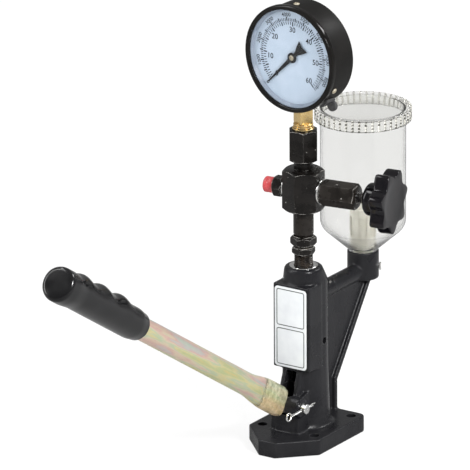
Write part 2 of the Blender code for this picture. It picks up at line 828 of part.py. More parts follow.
def cast_web():
    """The upright web from the column to the cup boss, and the flange along its back edge."""
    web_top_z = ARM_Z - ARM_RADIUS / 4
    boss_back_y = CUP_AXIS_Y + BOSS_RADIUS / 3
    edge = (boss_back_y - WEB_BACK_LOW_Y, BOSS_LOW_Z - WEB_BACK_LOW_Z)
    edge_length = math.hypot(*edge)
    in_y = WEB_FLANGE_THICKNESS * edge[1] / edge_length
    in_z = WEB_FLANGE_THICKNESS * edge[0] / edge_length
    under_boss = BOSS_LOW_Z + WEB_FLANGE_THICKNESS / 2
    top_y = WEB_BACK_LOW_Y + edge[0] * (under_boss - WEB_BACK_LOW_Z) / edge[1]
    inner_low_y = WEB_BACK_LOW_Y - WEB_FLANGE_THICKNESS
    middle_low_y = WEB_BACK_LOW_Y - WEB_FLANGE_THICKNESS / 2
    web_view = [
        (0, INSIDE_FOOT),
        (middle_low_y, INSIDE_FOOT),
        (middle_low_y, WEB_BACK_LOW_Z + in_z / 2),
        (top_y - in_y / 2, under_boss),
        (top_y - in_y / 2, web_top_z),
        (0, web_top_z),
    ]
    flange_view = [
        (inner_low_y, INSIDE_FOOT),
        (WEB_BACK_LOW_Y, INSIDE_FOOT),
        (WEB_BACK_LOW_Y, WEB_BACK_LOW_Z),
        (top_y, under_boss),
        (top_y - in_y - in_z * edge[0] / edge[1], under_boss),
        (inner_low_y, WEB_BACK_LOW_Z + in_z),
    ]
    half_web = WEB_THICKNESS / 2
    half_flange = WEB_FLANGE_WIDTH / 2
    web = helper(moved(plate("web", web_view, -half_web, half_web), SIDEWAYS))
    flange = helper(moved(plate("web_flange", flange_view, -half_flange, half_flange), SIDEWAYS))
    return web, flange


def pump_bore():
    """The stepped bore down the column: recess for the ring, barrel, tappet."""
    recess_z = COLUMN_TOP_Z - COLLAR_RECESS_DEPTH
    return helper(
        turned(
            "barrel_bore",
            [
                (0, COLUMN_TOP_Z + OVERRUN),
                (COLLAR_RING_RADIUS + GAP, COLUMN_TOP_Z + OVERRUN),
                (COLLAR_RING_RADIUS + GAP, recess_z),
                (BARREL_BORE_RADIUS, recess_z),
                (BARREL_BORE_RADIUS, BARREL_SHOULDER_Z),
                (TAPPET_BORE_RADIUS, BARREL_SHOULDER_Z),
                (TAPPET_BORE_RADIUS, CHAMBER_FLOOR_Z),
                (0, CHAMBER_FLOOR_Z),
            ],
        )
    )


def housing_cuts():
    """The slot for the lever and the holes across, along and down the casting."""
    slot_low = (-SLOT_HALF_WIDTH, PIVOT_Y - EAR_RADIUS - OVERRUN, CHAMBER_FLOOR_Z)
    slot = block("lever_slot", slot_low, (SLOT_HALF_WIDTH, 0, SLOT_TOP_Z))
    pin_end = EAR_HALF_WIDTH + OVERRUN
    pin_hole = rod("pin_hole", PIN_RADIUS + GAP, -pin_end, pin_end, SMALL)
    cup_bore = rod("cup_bore", BOSS_BORE_RADIUS, BOSS_BORE_FLOOR_Z, BOSS_HIGH_Z + OVERRUN)
    passage = rod("oil_passage", OIL_PASSAGE_RADIUS, BARREL_BORE_RADIUS / 2, CUP_AXIS_Y, TINY)
    leak = rod("leak_hole", LEAK_HOLE_RADIUS, TAPPET_BORE_RADIUS / 2, COLUMN_FLARE_RADIUS + OVERRUN, SMALL)
    plug_floor = BOSS_RADIUS - PLUG_SHANK_LENGTH - GAP
    plug_hole = rod("plug_hole", PLUG_SHANK_RADIUS + GAP, plug_floor, BOSS_RADIUS + OVERRUN, TINY)
    moved(pin_hole, AT_PIVOT @ ACROSS)
    moved(cup_bore, AT_CUP)
    moved(passage, AT_ARM @ BACKWARDS)
    moved(leak, Matrix.Translation((0, COLUMN_DRAW_BACK, LEAK_HOLE_Z)) @ ACROSS)
    moved(plug_hole, plug_matrix())
    return [helper(tool) for tool in (slot, pin_hole, cup_bore, passage, leak, plug_hole)]


def bench_holes():
    """Four bolt holes down through the foot."""
    holes = []
    for x, y in ((FRONT_HOLE_X, -FRONT_HOLE_Y), (BACK_HOLE_X, BACK_HOLE_Y)):
        for side, name in ((1, "right"), (-1, "left")):
            hole = rod(f"bench_hole_{name}", BENCH_HOLE_RADIUS, -OVERRUN, FOOT_THICKNESS + OVERRUN, SMALL)
            holes.append(helper(moved(hole, Matrix.Translation((side * x, y, 0)))))
    return holes


def make_housing(material):
    """The casting: foot, column, box, cheeks with ears, oil arm, cup boss and rear web."""
    housing = plate("pump_housing", foot_outline(), 0, FOOT_THICKNESS)
    add_bevel(housing, FOOT_EDGE_BEVEL)
    ears = helper(moved(rod("ears", EAR_RADIUS, -EAR_HALF_WIDTH, EAR_HALF_WIDTH), AT_PIVOT @ ACROSS))
    arm = helper(moved(rod("oil_arm", ARM_RADIUS, 0, CUP_AXIS_Y), AT_ARM @ BACKWARDS))
    boss = helper(moved(rod("cup_boss", BOSS_RADIUS, BOSS_LOW_Z, BOSS_HIGH_Z), AT_CUP))
    fuse(housing, cast_column(), label_box(), *cast_cheeks(), ears, arm, boss, *cast_web())
    cut(housing, pump_bore(), *housing_cuts(), *bench_holes())
    finished(housing, material)


def plug_matrix():
    """Along the plug of the boss, from the axis of the cup outwards."""
    return Matrix.Translation((0, CUP_AXIS_Y, PLUG_AXIS_Z)) @ Matrix.Rotation(PLUG_TURN, 4, "Z") @ ACROSS


def make_boss_plug(material):
    """Screw plug in the side of the cup boss."""
    seat = BOSS_RADIUS + GAP
    head = seat + PLUG_HEAD_HEIGHT
    rim = PLUG_HEAD_HEIGHT / 4
    plug = turned(
        "boss_plug",
        [
            (0, head - PLUG_SOCKET_DEPTH),
            (PLUG_SOCKET_RADIUS, head - PLUG_SOCKET_DEPTH),
            (PLUG_SOCKET_RADIUS, head),
            (PLUG_HEAD_RADIUS - rim, head),
            (PLUG_HEAD_RADIUS, head - rim),
            (PLUG_HEAD_RADIUS, seat),
            (PLUG_SHANK_RADIUS, seat),
            (PLUG_SHANK_RADIUS, BOSS_RADIUS - PLUG_SHANK_LENGTH),
            (0, BOSS_RADIUS - PLUG_SHANK_LENGTH),
        ],
        SMALL,
    )
    finished(moved(plug, plug_matrix()), material)


def make_label_plate(material):
    """Bare plate stuck to the front of the box."""
    half_width = PLATE_WIDTH / 2
    half_height = PLATE_HEIGHT / 2
    corner = PLATE_CORNER_RADIUS
    outline = rounded_outline(
        [
            (-half_width, -half_height, corner),
            (half_width, -half_height, corner),
            (half_width, half_height, corner),
            (-half_width, half_height, corner),
        ]
    )
    label = plate("label_plate", outline, GAP, GAP + PLATE_THICKNESS)
    middle = Matrix.Translation((0, -BOX_FRONT, (BOX_LOW_Z + BOX_HIGH_Z) / 2))
    finished(moved(label, middle @ Matrix.Rotation(math.radians(90), 4, "X")), material)


def make_barrel(steel):
    """Pump barrel with its oil groove and port."""
    low = BARREL_SHOULDER_Z + GAP
    groove = BARREL_WALL_RADIUS - BARREL_GROOVE_DEPTH
    barrel = turned(
        "pump_barrel",
        [
            (BARREL_WALL_RADIUS, BARREL_TOP_Z),
            (BARREL_WALL_RADIUS, ARM_Z + BARREL_GROOVE_HALF_HEIGHT),
            (groove, ARM_Z + BARREL_GROOVE_HALF_HEIGHT),
            (groove, ARM_Z - BARREL_GROOVE_HALF_HEIGHT),
            (BARREL_WALL_RADIUS, ARM_Z - BARREL_GROOVE_HALF_HEIGHT),
            (BARREL_WALL_RADIUS, low),
            (BARREL_PLUNGER_BORE, low),
            (BARREL_PLUNGER_BORE, BARREL_TOP_Z),
        ],
    )
    port = rod("barrel_port", OIL_PASSAGE_RADIUS, 0, BARREL_WALL_RADIUS + OVERRUN, TINY)
    cut(barrel, helper(moved(port, AT_ARM @ BACKWARDS)))
    finished(barrel, steel)


def make_plunger(steel):
    """Plunger with a neck and a foot for the spring seat."""
    foot_high = PLUNGER_FOOT_Z + PLUNGER_FOOT_HEIGHT
    body_low = SEAT_HIGH_Z + GAP
    plunger = turned(
        "plunger",
        [
            (0, PLUNGER_TOP_Z),
            (PLUNGER_RADIUS, PLUNGER_TOP_Z),
            (PLUNGER_RADIUS, body_low),
            (PLUNGER_NECK_RADIUS, body_low),
            (PLUNGER_NECK_RADIUS, foot_high),
            (PLUNGER_FOOT_RADIUS, foot_high),
            (PLUNGER_FOOT_RADIUS, PLUNGER_FOOT_Z),
            (0, PLUNGER_FOOT_Z),
        ],
        SMALL,
    )
    finished(plunger, steel)


def make_tappet(dark_steel):
    """Cup shaped tappet that the nose of the lever pushes up."""
    inner = TAPPET_RADIUS - TAPPET_WALL
    high = TAPPET_LOW_Z + TAPPET_HEIGHT
    floor = TAPPET_LOW_Z + TAPPET_FLOOR
    tappet = turned(
        "tappet",
        [
            (0, floor),
            (inner, floor),
            (inner, high),
            (TAPPET_RADIUS, high),
            (TAPPET_RADIUS, TAPPET_LOW_Z),
            (0, TAPPET_LOW_Z),
        ],
    )
    finished(tappet, dark_steel)


def make_spring_seat(dark_steel):
    """Slotted washer that hangs the spring on the plunger's foot."""
    seat = rod("spring_seat", SEAT_RADIUS, SEAT_LOW_Z, SEAT_HIGH_Z)
    half_slot = PLUNGER_NECK_RADIUS + RUN_CLEARANCE
    hole = helper(rod("seat_hole", half_slot, SEAT_LOW_Z - OVERRUN, SEAT_HIGH_Z + OVERRUN, SMALL))
    way_in = helper(
        block(
            "seat_slot",
            (-half_slot, 0, SEAT_LOW_Z - OVERRUN),
            (half_slot, SEAT_RADIUS + OVERRUN, SEAT_HIGH_Z + OVERRUN),
        )
    )
    finished(cut(seat, fuse(hole, way_in)), dark_steel)


def make_return_spring(spring_steel):
    """Coil between the spring seat and the barrel, which lifts the lever again."""
    low = SEAT_HIGH_Z + GAP + SPRING_WIRE_RADIUS
    high = BARREL_SHOULDER_Z - SPRING_WIRE_RADIUS
    coil = helix(SPRING_COIL_RADIUS, SPRING_TURNS, low, high, SPRING_END_TURN_RISE)
    print("least gap in the return spring, m:", round(least_gap(coil, SPRING_WIRE_RADIUS), 5))
    finished(wire("return_spring", coil, SPRING_WIRE_RADIUS, 1), spring_steel)


def make_valve_seat(steel):
    """Flat seat of the delivery valve on top of the barrel."""
    seat = ring("valve_seat", BARREL_WALL_RADIUS, VALVE_SEAT_HOLE_RADIUS, VALVE_SEAT_Z, VALVE_SEAT_HIGH_Z)
    finished(seat, steel)


def make_valve_ball(steel):
    """Ball that closes the hole of the seat."""
    ball_mesh = bpy.data.meshes.new("valve_ball")
    work = bmesh.new()
    bmesh.ops.create_uvsphere(
        work,
        u_segments=TINY,
        v_segments=TINY // 2 + 1,
        radius=VALVE_BALL_RADIUS,
        matrix=Matrix.Translation((0, 0, VALVE_BALL_Z)),
    )
    work.to_mesh(ball_mesh)
    work.free()
    finished(bpy.data.objects.new("valve_ball", tidy_mesh(ball_mesh)), steel)


def make_valve_spring(spring_steel):
    """Small coil that presses the ball on its seat."""
    crown = math.sqrt(VALVE_BALL_RADIUS**2 - VALVE_SPRING_COIL_RADIUS**2)
    low = VALVE_BALL_Z + crown + GAP + VALVE_SPRING_WIRE_RADIUS * 2
    high = VALVE_POCKET_TOP_Z - VALVE_SPRING_WIRE_RADIUS - GAP
    coil = helix(VALVE_SPRING_COIL_RADIUS, VALVE_SPRING_TURNS, low, high, VALVE_SPRING_END_TURN_RISE)
    print("least gap in the valve spring, m:", round(least_gap(coil, VALVE_SPRING_WIRE_RADIUS), 5))
    finished(wire("valve_spring", coil, VALVE_SPRING_WIRE_RADIUS, 1), spring_steel)


def make_holder(black, bright):
    """Threaded holder of the delivery valve, and the bright ring round it."""
    low = VALVE_SEAT_HIGH_Z + GAP
    flange = low + HOLDER_FLANGE_HEIGHT
    holder = turned(
        "valve_holder",
        [
            (HOLDER_SHANK_RADIUS, HOLDER_TOP_Z),
            (HOLDER_SHANK_RADIUS, flange),
            (BARREL_WALL_RADIUS, flange),
            (BARREL_WALL_RADIUS, low),
            (VALVE_POCKET_RADIUS, low),
            (VALVE_POCKET_RADIUS, VALVE_POCKET_TOP_Z),
            (FUEL_BORE_RADIUS, VALVE_POCKET_TOP_Z),
            (FUEL_BORE_RADIUS, HOLDER_TOP_Z),
        ],
    )
    finished(holder, black)

    ring_low = max(flange, COLUMN_TOP_Z - COLLAR_RECESS_DEPTH) + GAP
    ring_high = ring_low + COLLAR_RING_THICKNESS
    edge = COLLAR_RING_THICKNESS / 4
    collar = turned(
        "collar_ring",
        [
            (COLLAR_RING_RADIUS - edge, ring_high),
            (COLLAR_RING_RADIUS, ring_high - edge),
            (COLLAR_RING_RADIUS, ring_low),
            (HOLDER_SHANK_RADIUS + GAP, ring_low),
            (HOLDER_SHANK_RADIUS + GAP, ring_high),
        ],
    )
    finished(collar, bright)


def make_nuts(black):
    """Lock nut and union nut on the valve holder, and the riser that the union nut holds."""
    lock_high = LOCK_NUT_LOW_Z + LOCK_NUT_HEIGHT
    bore = HOLDER_SHANK_RADIUS + GAP
    low = LOCK_NUT_LOW_Z
    lock = hex_bar("lock_nut", LOCK_NUT_FLATS, low, lock_high, None, LOCK_NUT_TURN, NUT_CHAMFER_SHARE)
    hole = helper(rod("lock_nut_bore", bore, low - OVERRUN, lock_high + OVERRUN))
    finished(cut(lock, hole), black)

    low = lock_high + GAP
    high = low + UNION_NUT_HEIGHT
    lip = high - UNION_LIP_HEIGHT
    union = hex_bar("union_nut", UNION_NUT_FLATS, low, high, None, UNION_NUT_TURN, NUT_CHAMFER_SHARE)
    hole = helper(
        turned(
            "union_nut_bore",
            [
                (0, high + OVERRUN),
                (RISER_NECK_RADIUS + GAP, high + OVERRUN),
                (RISER_NECK_RADIUS + GAP, lip),
                (bore, lip),
                (bore, low - OVERRUN),
                (0, low - OVERRUN),
            ],
        )
    )
    finished(cut(union, hole), black)
    make_riser(black, lip, high)


def make_riser(black, lip, union_high):
    """Riser with a collar under the union nut's lip and a spigot in the block."""
    collar_low = HOLDER_TOP_Z + GAP
    collar_high = min(collar_low + RISER_COLLAR_HEIGHT, lip - GAP)
    body_low = union_high + GAP
    body_high = BLOCK_LOW_Z - GAP
    spigot = body_high + PORT_DEPTH
    edge = RISER_RADIUS - RISER_NECK_RADIUS
    riser = turned(
        "riser",
        [
            (PORT_RADIUS - GAP, spigot),
            (PORT_RADIUS - GAP, body_high),
            (RISER_RADIUS, body_high),
            (RISER_RADIUS, body_low + edge),
            (RISER_NECK_RADIUS, body_low),
            (RISER_NECK_RADIUS, collar_high),
            (HOLDER_SHANK_RADIUS, collar_high),
            (HOLDER_SHANK_RADIUS, collar_low),
            (FUEL_BORE_RADIUS, collar_low),
            (FUEL_BORE_RADIUS, spigot),
        ],
    )
    finished(riser, black)


def make_cross_block(black, valve_arm, outlet_arm):
    """Hexagon block, ported below, above and on two opposite flats."""
    block_bar = hex_bar("cross_block", BLOCK_FLATS, BLOCK_LOW_Z, BLOCK_HIGH_Z, turn=BLOCK_TURN)
    face = BLOCK_FLATS / 2
    below = helper(rod("port_below", PORT_RADIUS, BLOCK_LOW_Z - OVERRUN, BLOCK_LOW_Z + PORT_DEPTH, SMALL))
    above = helper(rod("port_above", PORT_RADIUS, BLOCK_HIGH_Z - PORT_DEPTH, BLOCK_HIGH_Z + OVERRUN, SMALL))
    right = helper(rod("port_right", PORT_RADIUS, face - PORT_DEPTH, face + OVERRUN, SMALL), valve_arm)
    left_radius = OUTLET_SPIGOT_RADIUS + GAP
    left = helper(rod("port_left", left_radius, face - PORT_DEPTH, face + OVERRUN, SMALL), outlet_arm)
    upright = helper(rod("bore_upright", FUEL_BORE_RADIUS, BLOCK_LOW_Z, BLOCK_HIGH_Z, TINY))
    level = helper(rod("bore_level", FUEL_BORE_RADIUS, -face, face, TINY), valve_arm)
    finished(cut(block_bar, below, above, right, left, upright, level), black)


def make_gauge_mounting(black, bright, brass):
    """Adapter on the block, sealing washer and the brass socket that goes up into the case."""
    neck_low = BLOCK_HIGH_Z + GAP
    hex_low = neck_low + ADAPTER_NECK_HEIGHT
    adapter = hex_bar("gauge_adapter", ADAPTER_FLATS, hex_low, ADAPTER_TOP_Z, turn=ADAPTER_TURN)
    spigot_low = BLOCK_HIGH_Z - PORT_DEPTH + GAP
    neck = helper(
        turned(
            "adapter_neck",
            [
                (0, hex_low + OVERRUN),
                (ADAPTER_NECK_RADIUS, hex_low + OVERRUN),
                (ADAPTER_NECK_RADIUS, neck_low),
                (PORT_RADIUS - GAP, neck_low),
                (PORT_RADIUS - GAP, spigot_low),
                (0, spigot_low),
            ],
        )
    )
    floor = ADAPTER_TOP_Z - ADAPTER_SOCKET_DEPTH
    bore = helper(
        turned(
            "adapter_bore",
            [
                (0, ADAPTER_TOP_Z + OVERRUN),
                (ADAPTER_SOCKET_RADIUS, ADAPTER_TOP_Z + OVERRUN),
                (ADAPTER_SOCKET_RADIUS, floor),
                (FUEL_BORE_RADIUS, floor),
                (FUEL_BORE_RADIUS, spigot_low - OVERRUN),
                (0, spigot_low - OVERRUN),
            ],
        )
    )
    finished(cut(fuse(adapter, neck), bore), black)

    washer_low = ADAPTER_TOP_Z + GAP
    washer_high = washer_low + GAUGE_WASHER_THICKNESS
    washer = ring("gauge_washer", GAUGE_WASHER_RADIUS, ADAPTER_SOCKET_RADIUS, washer_low, washer_high)
    finished(washer, bright)

    make_socket(brass, washer_high + GAP, floor + GAP)


def make_socket(brass, stem_low, spigot_low):
    """Brass socket of the gauge: threaded spigot, two turned rings and a square for the spanner."""
    groove = SOCKET_RADIUS - SOCKET_GROOVE_DEPTH
    thread = ADAPTER_SOCKET_RADIUS - GAP
    rings = []
    height = stem_low
    for _ in range(SOCKET_RINGS):
        rings += [(SOCKET_RADIUS, height), (SOCKET_RADIUS, height + SOCKET_RING_HEIGHT)]
        height += SOCKET_RING_HEIGHT
        rings += [(groove, height), (groove, height + SOCKET_GROOVE_HEIGHT)]
        height += SOCKET_GROOVE_HEIGHT
    half = SOCKET_SQUARE / 2
    corners = [(-half, -half), (half, -half), (half, half), (-half, half)]
    outline = rounded_outline([(x, y, SOCKET_CORNER_RADIUS) for x, y in corners])
    square = plate("socket_square", outline, height - SOCKET_GROOVE_HEIGHT / 2, SOCKET_TOP_Z)
    moved(square, Matrix.Rotation(SOCKET_TURN, 4, "Z"))
    stem = rings[::-1] + [(thread, stem_low), (thread, spigot_low), (0, spigot_low)]
    socket = turned("gauge_socket", [(0, height)] + stem)
    bore = rod("socket_bore", FUEL_BORE_RADIUS, spigot_low - OVERRUN, SOCKET_TOP_Z + OVERRUN, TINY)
    finished(cut(fuse(socket, helper(square)), helper(bore)), brass)


def around_case(angle, axial=0.0):
    """From the gauge's axis outwards at an angle, as a matrix whose Z points out."""
    return Matrix.Translation((0, 0, axial)) @ Matrix.Rotation(angle, 4, "Z") @ ACROSS


def screw_angles():
    return [math.radians(90) + number * math.tau / RIM_SCREWS for number in range(RIM_SCREWS)]


def make_case(black, gauge):
    """Pressed case of the gauge with a rounded back."""
    inner = CASE_RADIUS - CASE_WALL
    curve = [
        (
            CASE_RADIUS - CASE_BACK_ROUND * (1 - math.cos(step * math.pi / 2)),
            -CASE_BACK + CASE_BACK_ROUND * (1 - math.sin(step * math.pi / 2)),
        )
        for step in ROUND_SHARES
    ]
    floor = -CASE_BACK + 2 * CASE_WALL
    case = turned(
        "gauge_case",
        [
            (0, floor),
            (inner - CASE_BACK_ROUND, floor),
            (inner, floor + CASE_BACK_ROUND),
            (inner, CASE_FRONT),
            (CASE_RADIUS, CASE_FRONT),
        ]
        + curve
        + [(0, -CASE_BACK)],
        FINE,
    )
    return finished(case, black, gauge)


def make_bezel(black, gauge):
    """Bezel over the front of the case, with a skirt inside it."""
    skirt = CASE_RADIUS - CASE_WALL - GAP
    flange_back = CASE_FRONT + GAP
    lip_back = BEZEL_FRONT - BEZEL_LIP
    bezel = turned(
        "gauge_bezel",
        [
            (BEZEL_OPENING_RADIUS, BEZEL_FRONT),
            (BEZEL_RADIUS - BEZEL_ROUND, BEZEL_FRONT),
            (BEZEL_RADIUS - BEZEL_ROUND / 3, BEZEL_FRONT - BEZEL_ROUND / 3),
            (BEZEL_RADIUS, BEZEL_FRONT - BEZEL_ROUND),
            (BEZEL_RADIUS, flange_back),
            (skirt, flange_back),
            (skirt, BEZEL_SKIRT_BACK),
            (BEZEL_BORE_RADIUS, BEZEL_SKIRT_BACK),
            (BEZEL_BORE_RADIUS, lip_back),
            (BEZEL_OPENING_RADIUS, lip_back),
        ],
        FINE,
    )
    return finished(bezel, black, gauge)


def make_window_and_dial(window_material, dial_material, gauge):
    """Flat window behind the lip of the bezel, and the dial behind it."""
    radius = BEZEL_BORE_RADIUS - GAP
    front = BEZEL_FRONT - BEZEL_LIP - GAP
    finished(rod("gauge_window", radius, front - WINDOW_THICKNESS, front, FINE), window_material, gauge)
    dial = ring("gauge_dial", radius, ARBOR_RADIUS + GAP, DIAL_FRONT - DIAL_THICKNESS, DIAL_FRONT, FINE)
    finished(dial, dial_material, gauge)


def make_gauge_shell(black, screw_material, gauge):
    """Case and bezel with the hole for the socket, held together by the rim screws."""
    case = make_case(black, gauge)
    bezel = make_bezel(black, gauge)
    stem_hole = rod("stem_hole", SOCKET_RADIUS + GAP, CASE_RADIUS / 2, CASE_RADIUS + OVERRUN, SMALL)
    stem_hole = helper(moved(stem_hole, around_case(math.radians(-90))), gauge)
    cut(case, stem_hole)
    cut(bezel, stem_hole)
    for number, angle in enumerate(screw_angles()):
        out = around_case(angle, RIM_SCREW_AXIAL)
        hole_low = BEZEL_BORE_RADIUS - OVERRUN
        hole_radius = RIM_SCREW_SHANK_RADIUS + GAP
        hole = rod(f"rim_hole_{number}", hole_radius, hole_low, CASE_RADIUS + OVERRUN, TINY)
        hole = helper(moved(hole, out), gauge)
        cut(case, hole)
        cut(bezel, hole)
        seat = CASE_RADIUS + GAP
        high = seat + RIM_SCREW_HEAD_HEIGHT
        screw = turned(
            f"rim_screw_{number + 1}",
            [
                (0, high),
                (RIM_SCREW_HEAD_RADIUS / 2, high),
                (RIM_SCREW_HEAD_RADIUS, seat + RIM_SCREW_HEAD_HEIGHT / 3),
                (RIM_SCREW_HEAD_RADIUS, seat),
                (RIM_SCREW_SHANK_RADIUS, seat),
                (RIM_SCREW_SHANK_RADIUS, BEZEL_BORE_RADIUS),
                (0, BEZEL_BORE_RADIUS),
            ],
            TINY,
        )
        finished(moved(screw, out), screw_material, gauge)


def make_vent_plug(rubber, gauge):
    """Rubber relief plug on the side of the case, with its round pull tab."""
    out = around_case(VENT_PLUG_TURN)
    disc_at = out @ Matrix.Translation((0, 0, VENT_DISC_REACH)) @ ACROSS
    half = VENT_DISC_THICKNESS / 2
    plug = moved(rod("vent_plug", VENT_DISC_RADIUS, -half, half, SMALL), disc_at)
    seat = CASE_RADIUS + GAP
    neck = block(
        "vent_neck",
        (-half, -VENT_NECK_WIDTH / 2, seat),
        (half, VENT_NECK_WIDTH / 2, VENT_DISC_REACH),
    )
    pad_half = VENT_PAD_LENGTH / 2
    pad = block(
        "vent_pad",
        (-VENT_PAD_AXIAL, -pad_half, CASE_RADIUS - VENT_PAD_THICKNESS),
        (half, pad_half, seat + VENT_PAD_THICKNESS),
    )
    round_side = rod("vent_pad_seat", seat, -CASE_BACK - OVERRUN, BEZEL_FRONT, FINE)
    fuse(plug, helper(moved(neck, out), gauge), helper(moved(pad, out), gauge))
    cut(plug, helper(round_side, gauge))
    finished(plug, rubber, gauge)


def make_movement_frame(brass, gauge):
    """Two plates on two pillars, on a stem that stands on the socket."""
    half_width = MOVEMENT_WIDTH / 2
    half_height = MOVEMENT_HEIGHT / 2
    back = MOVEMENT_BACK
    front = back + MOVEMENT_DEPTH
    in_back = back + MOVEMENT_PLATE / 2
    in_front = front - MOVEMENT_PLATE / 2
    frame = block(
        "movement_frame",
        (-half_width, -half_height, back),
        (half_width, half_height, back + MOVEMENT_PLATE),
    )
    front_plate = block(
        "movement_front",
        (-half_width, -half_height, front - MOVEMENT_PLATE),
        (half_width, half_height, front),
    )
    fuse(frame, helper(front_plate, gauge))
    pillar = MOVEMENT_PLATE * 2
    for name, low in (("left", -half_width), ("right", half_width - pillar)):
        corner = (low + pillar, half_height, in_front)
        fuse(frame, helper(block(f"movement_pillar_{name}", (low, -half_height, in_back), corner), gauge))
    half_stem = MOVEMENT_STEM_WIDTH / 2
    stem = block(
        "movement_stem",
        (-half_stem, SOCKET_TOP_Z - GAUGE_Z + GAP, back),
        (half_stem, MOVEMENT_PLATE - half_height, back + 2 * MOVEMENT_PLATE),
    )
    fuse(frame, helper(stem, gauge))
    cut(frame, helper(rod("arbor_holes", ARBOR_RADIUS + GAP, ARBOR_BACK, front + OVERRUN, TINY), gauge))
    finished(frame, brass, gauge)


def make_arbor(brass, gauge):
    """Arbor of the needle, with its pinion between the plates."""
    pinion_low = MOVEMENT_BACK + MOVEMENT_PLATE + GAP * 2
    pinion_high = pinion_low + PINION_LENGTH
    arbor_back = ARBOR_BACK + GAP
    arbor = turned(
        "needle_arbor",
        [
            (0, NEEDLE_FRONT),
            (ARBOR_RADIUS, NEEDLE_FRONT),
            (ARBOR_RADIUS, pinion_high),
            (PINION_RADIUS, pinion_high),
            (PINION_RADIUS, pinion_low),
            (ARBOR_RADIUS, pinion_low),
            (ARBOR_RADIUS, arbor_back),
            (0, arbor_back),
        ],
        TINY,
    )
    finished(arbor, brass, gauge)


def make_needle(black, gauge):
    """Flat needle: a point in front, a round hub, and a tail that flares to a notched end."""
    root = NEEDLE_ROOT_HALF_WIDTH
    hub = NEEDLE_HUB_RADIUS
    start = math.asin(root / hub)
    neck = NEEDLE_TAIL_LENGTH * NEEDLE_NECK_SHARE
    notch = NEEDLE_TAIL_LENGTH * NEEDLE_NOTCH_SHARE
    waist = root * NEEDLE_WAIST_SHARE
    outline = (
        [(NEEDLE_LENGTH, -NEEDLE_TIP_HALF_WIDTH), (NEEDLE_LENGTH, NEEDLE_TIP_HALF_WIDTH)]
        + arc_points((0, 0), hub, start, math.pi - start, CORNER_STEPS * 2)
        + [
            (-neck, waist),
            (-NEEDLE_TAIL_LENGTH, NEEDLE_TAIL_HALF_WIDTH),
            (-notch, 0),
            (-NEEDLE_TAIL_LENGTH, -NEEDLE_TAIL_HALF_WIDTH),
            (-neck, -waist),
        ]
        + arc_points((0, 0), hub, math.pi + start, math.tau - start, CORNER_STEPS * 2)
    )
    needle = plate("gauge_needle", outline, NEEDLE_BACK, NEEDLE_FRONT)
    hole = rod("needle_hole", ARBOR_RADIUS + GAP, NEEDLE_BACK - OVERRUN, NEEDLE_FRONT + OVERRUN, TINY)
    cut(needle, helper(hole, gauge))
    needle = finished(needle, black, gauge)
    needle.rotation_euler.z = NEEDLE_ZERO


def make_needle_cap(brass, gauge):
    """Brass cap that holds the needle on its arbor."""
    cap_low = NEEDLE_FRONT + GAP
    cap = turned(
        "needle_cap",
        [
            (0, cap_low + NEEDLE_CAP_HEIGHT),
            (NEEDLE_CAP_TOP_RADIUS, cap_low + NEEDLE_CAP_HEIGHT),
            (NEEDLE_CAP_RADIUS, cap_low + NEEDLE_CAP_HEIGHT / 2),
            (NEEDLE_CAP_RADIUS, cap_low),
            (0, cap_low),
        ],
        SMALL,
    )
    finished(cap, brass, gauge)


def make_bourdon_tube(bronze, gauge):
    """Curved tube behind the movement, which starts beside the end of the socket."""
    tube_z = MOVEMENT_BACK - GAP - BOURDON_TUBE_RADIUS
    route = [(0, SOCKET_TOP_Z - GAUGE_Z + GAP + BOURDON_TUBE_RADIUS, tube_z)]
    bend = arc_points((0, 0), BOURDON_RADIUS, BOURDON_START, BOURDON_START - BOURDON_SWEEP, BOURDON_STEPS)
    route += [(x, y, tube_z) for x, y in bend]
    finished(wire("bourdon_tube", route, BOURDON_TUBE_RADIUS, 1), bronze, gauge)



def make_bonnet(black, bright, arm):
    """Washer and bonnet of the shut off valve on the right arm."""
    face = BLOCK_FLATS / 2
    washer_low = face + GAP
    washer_high = washer_low + ARM_WASHER_THICKNESS
    finished(ring("valve_washer", ARM_WASHER_RADIUS, PORT_RADIUS, washer_low, washer_high), bright, arm)

    bonnet_low = washer_high + GAP
    bonnet = hex_bar("valve_bonnet", BONNET_FLATS, bonnet_low, BONNET_END, arm, BONNET_TURN)
    spigot_low = face - PORT_DEPTH + GAP
    spigot = helper(rod("bonnet_spigot", PORT_RADIUS - GAP, spigot_low, bonnet_low + OVERRUN), arm)
    bore = helper(
        turned(
            "bonnet_bore",
            [
                (0, BONNET_END + OVERRUN),
                (SPINDLE_BORE_RADIUS, BONNET_END + OVERRUN),
                (SPINDLE_BORE_RADIUS, SPINDLE_TIP),
                (BONNET_POCKET_RADIUS, SPINDLE_TIP - OVERRUN),
                (BONNET_POCKET_RADIUS, spigot_low - OVERRUN),
                (0, spigot_low - OVERRUN),
            ],
        ),
        arm,
    )
    finished(cut(fuse(bonnet, spigot), bore), black, arm)


def make_spindle(dark_steel, arm):
    """Spindle of the shut off valve, with a cone at its tip."""
    end = KNOB_HUB_START + KNOB_SOCKET_DEPTH - GAP
    spindle = turned(
        "valve_spindle",
        [
            (0, end),
            (SPINDLE_RADIUS, end),
            (SPINDLE_RADIUS, SPINDLE_TIP + SPINDLE_CONE_LENGTH),
            (SPINDLE_TIP_RADIUS, SPINDLE_TIP),
            (0, SPINDLE_TIP),
        ],
        SMALL,
    )
    finished(spindle, dark_steel, arm)


def knob_ring(radius, height, depth=0.0):
    """A ring of points at a height, round where no depth is given and fluted between lobes."""
    points = []
    for i in range(KNOB_LOBES * KNOB_LOBE_STEPS):
        share = i / KNOB_LOBE_STEPS
        flute = math.sin(share % 1 * math.pi) ** KNOB_FLUTE_POWER
        angle = KNOB_TURN + share * math.tau / KNOB_LOBES
        reach = radius - depth * flute
        points.append((reach * math.cos(angle), reach * math.sin(angle), height))
    return points


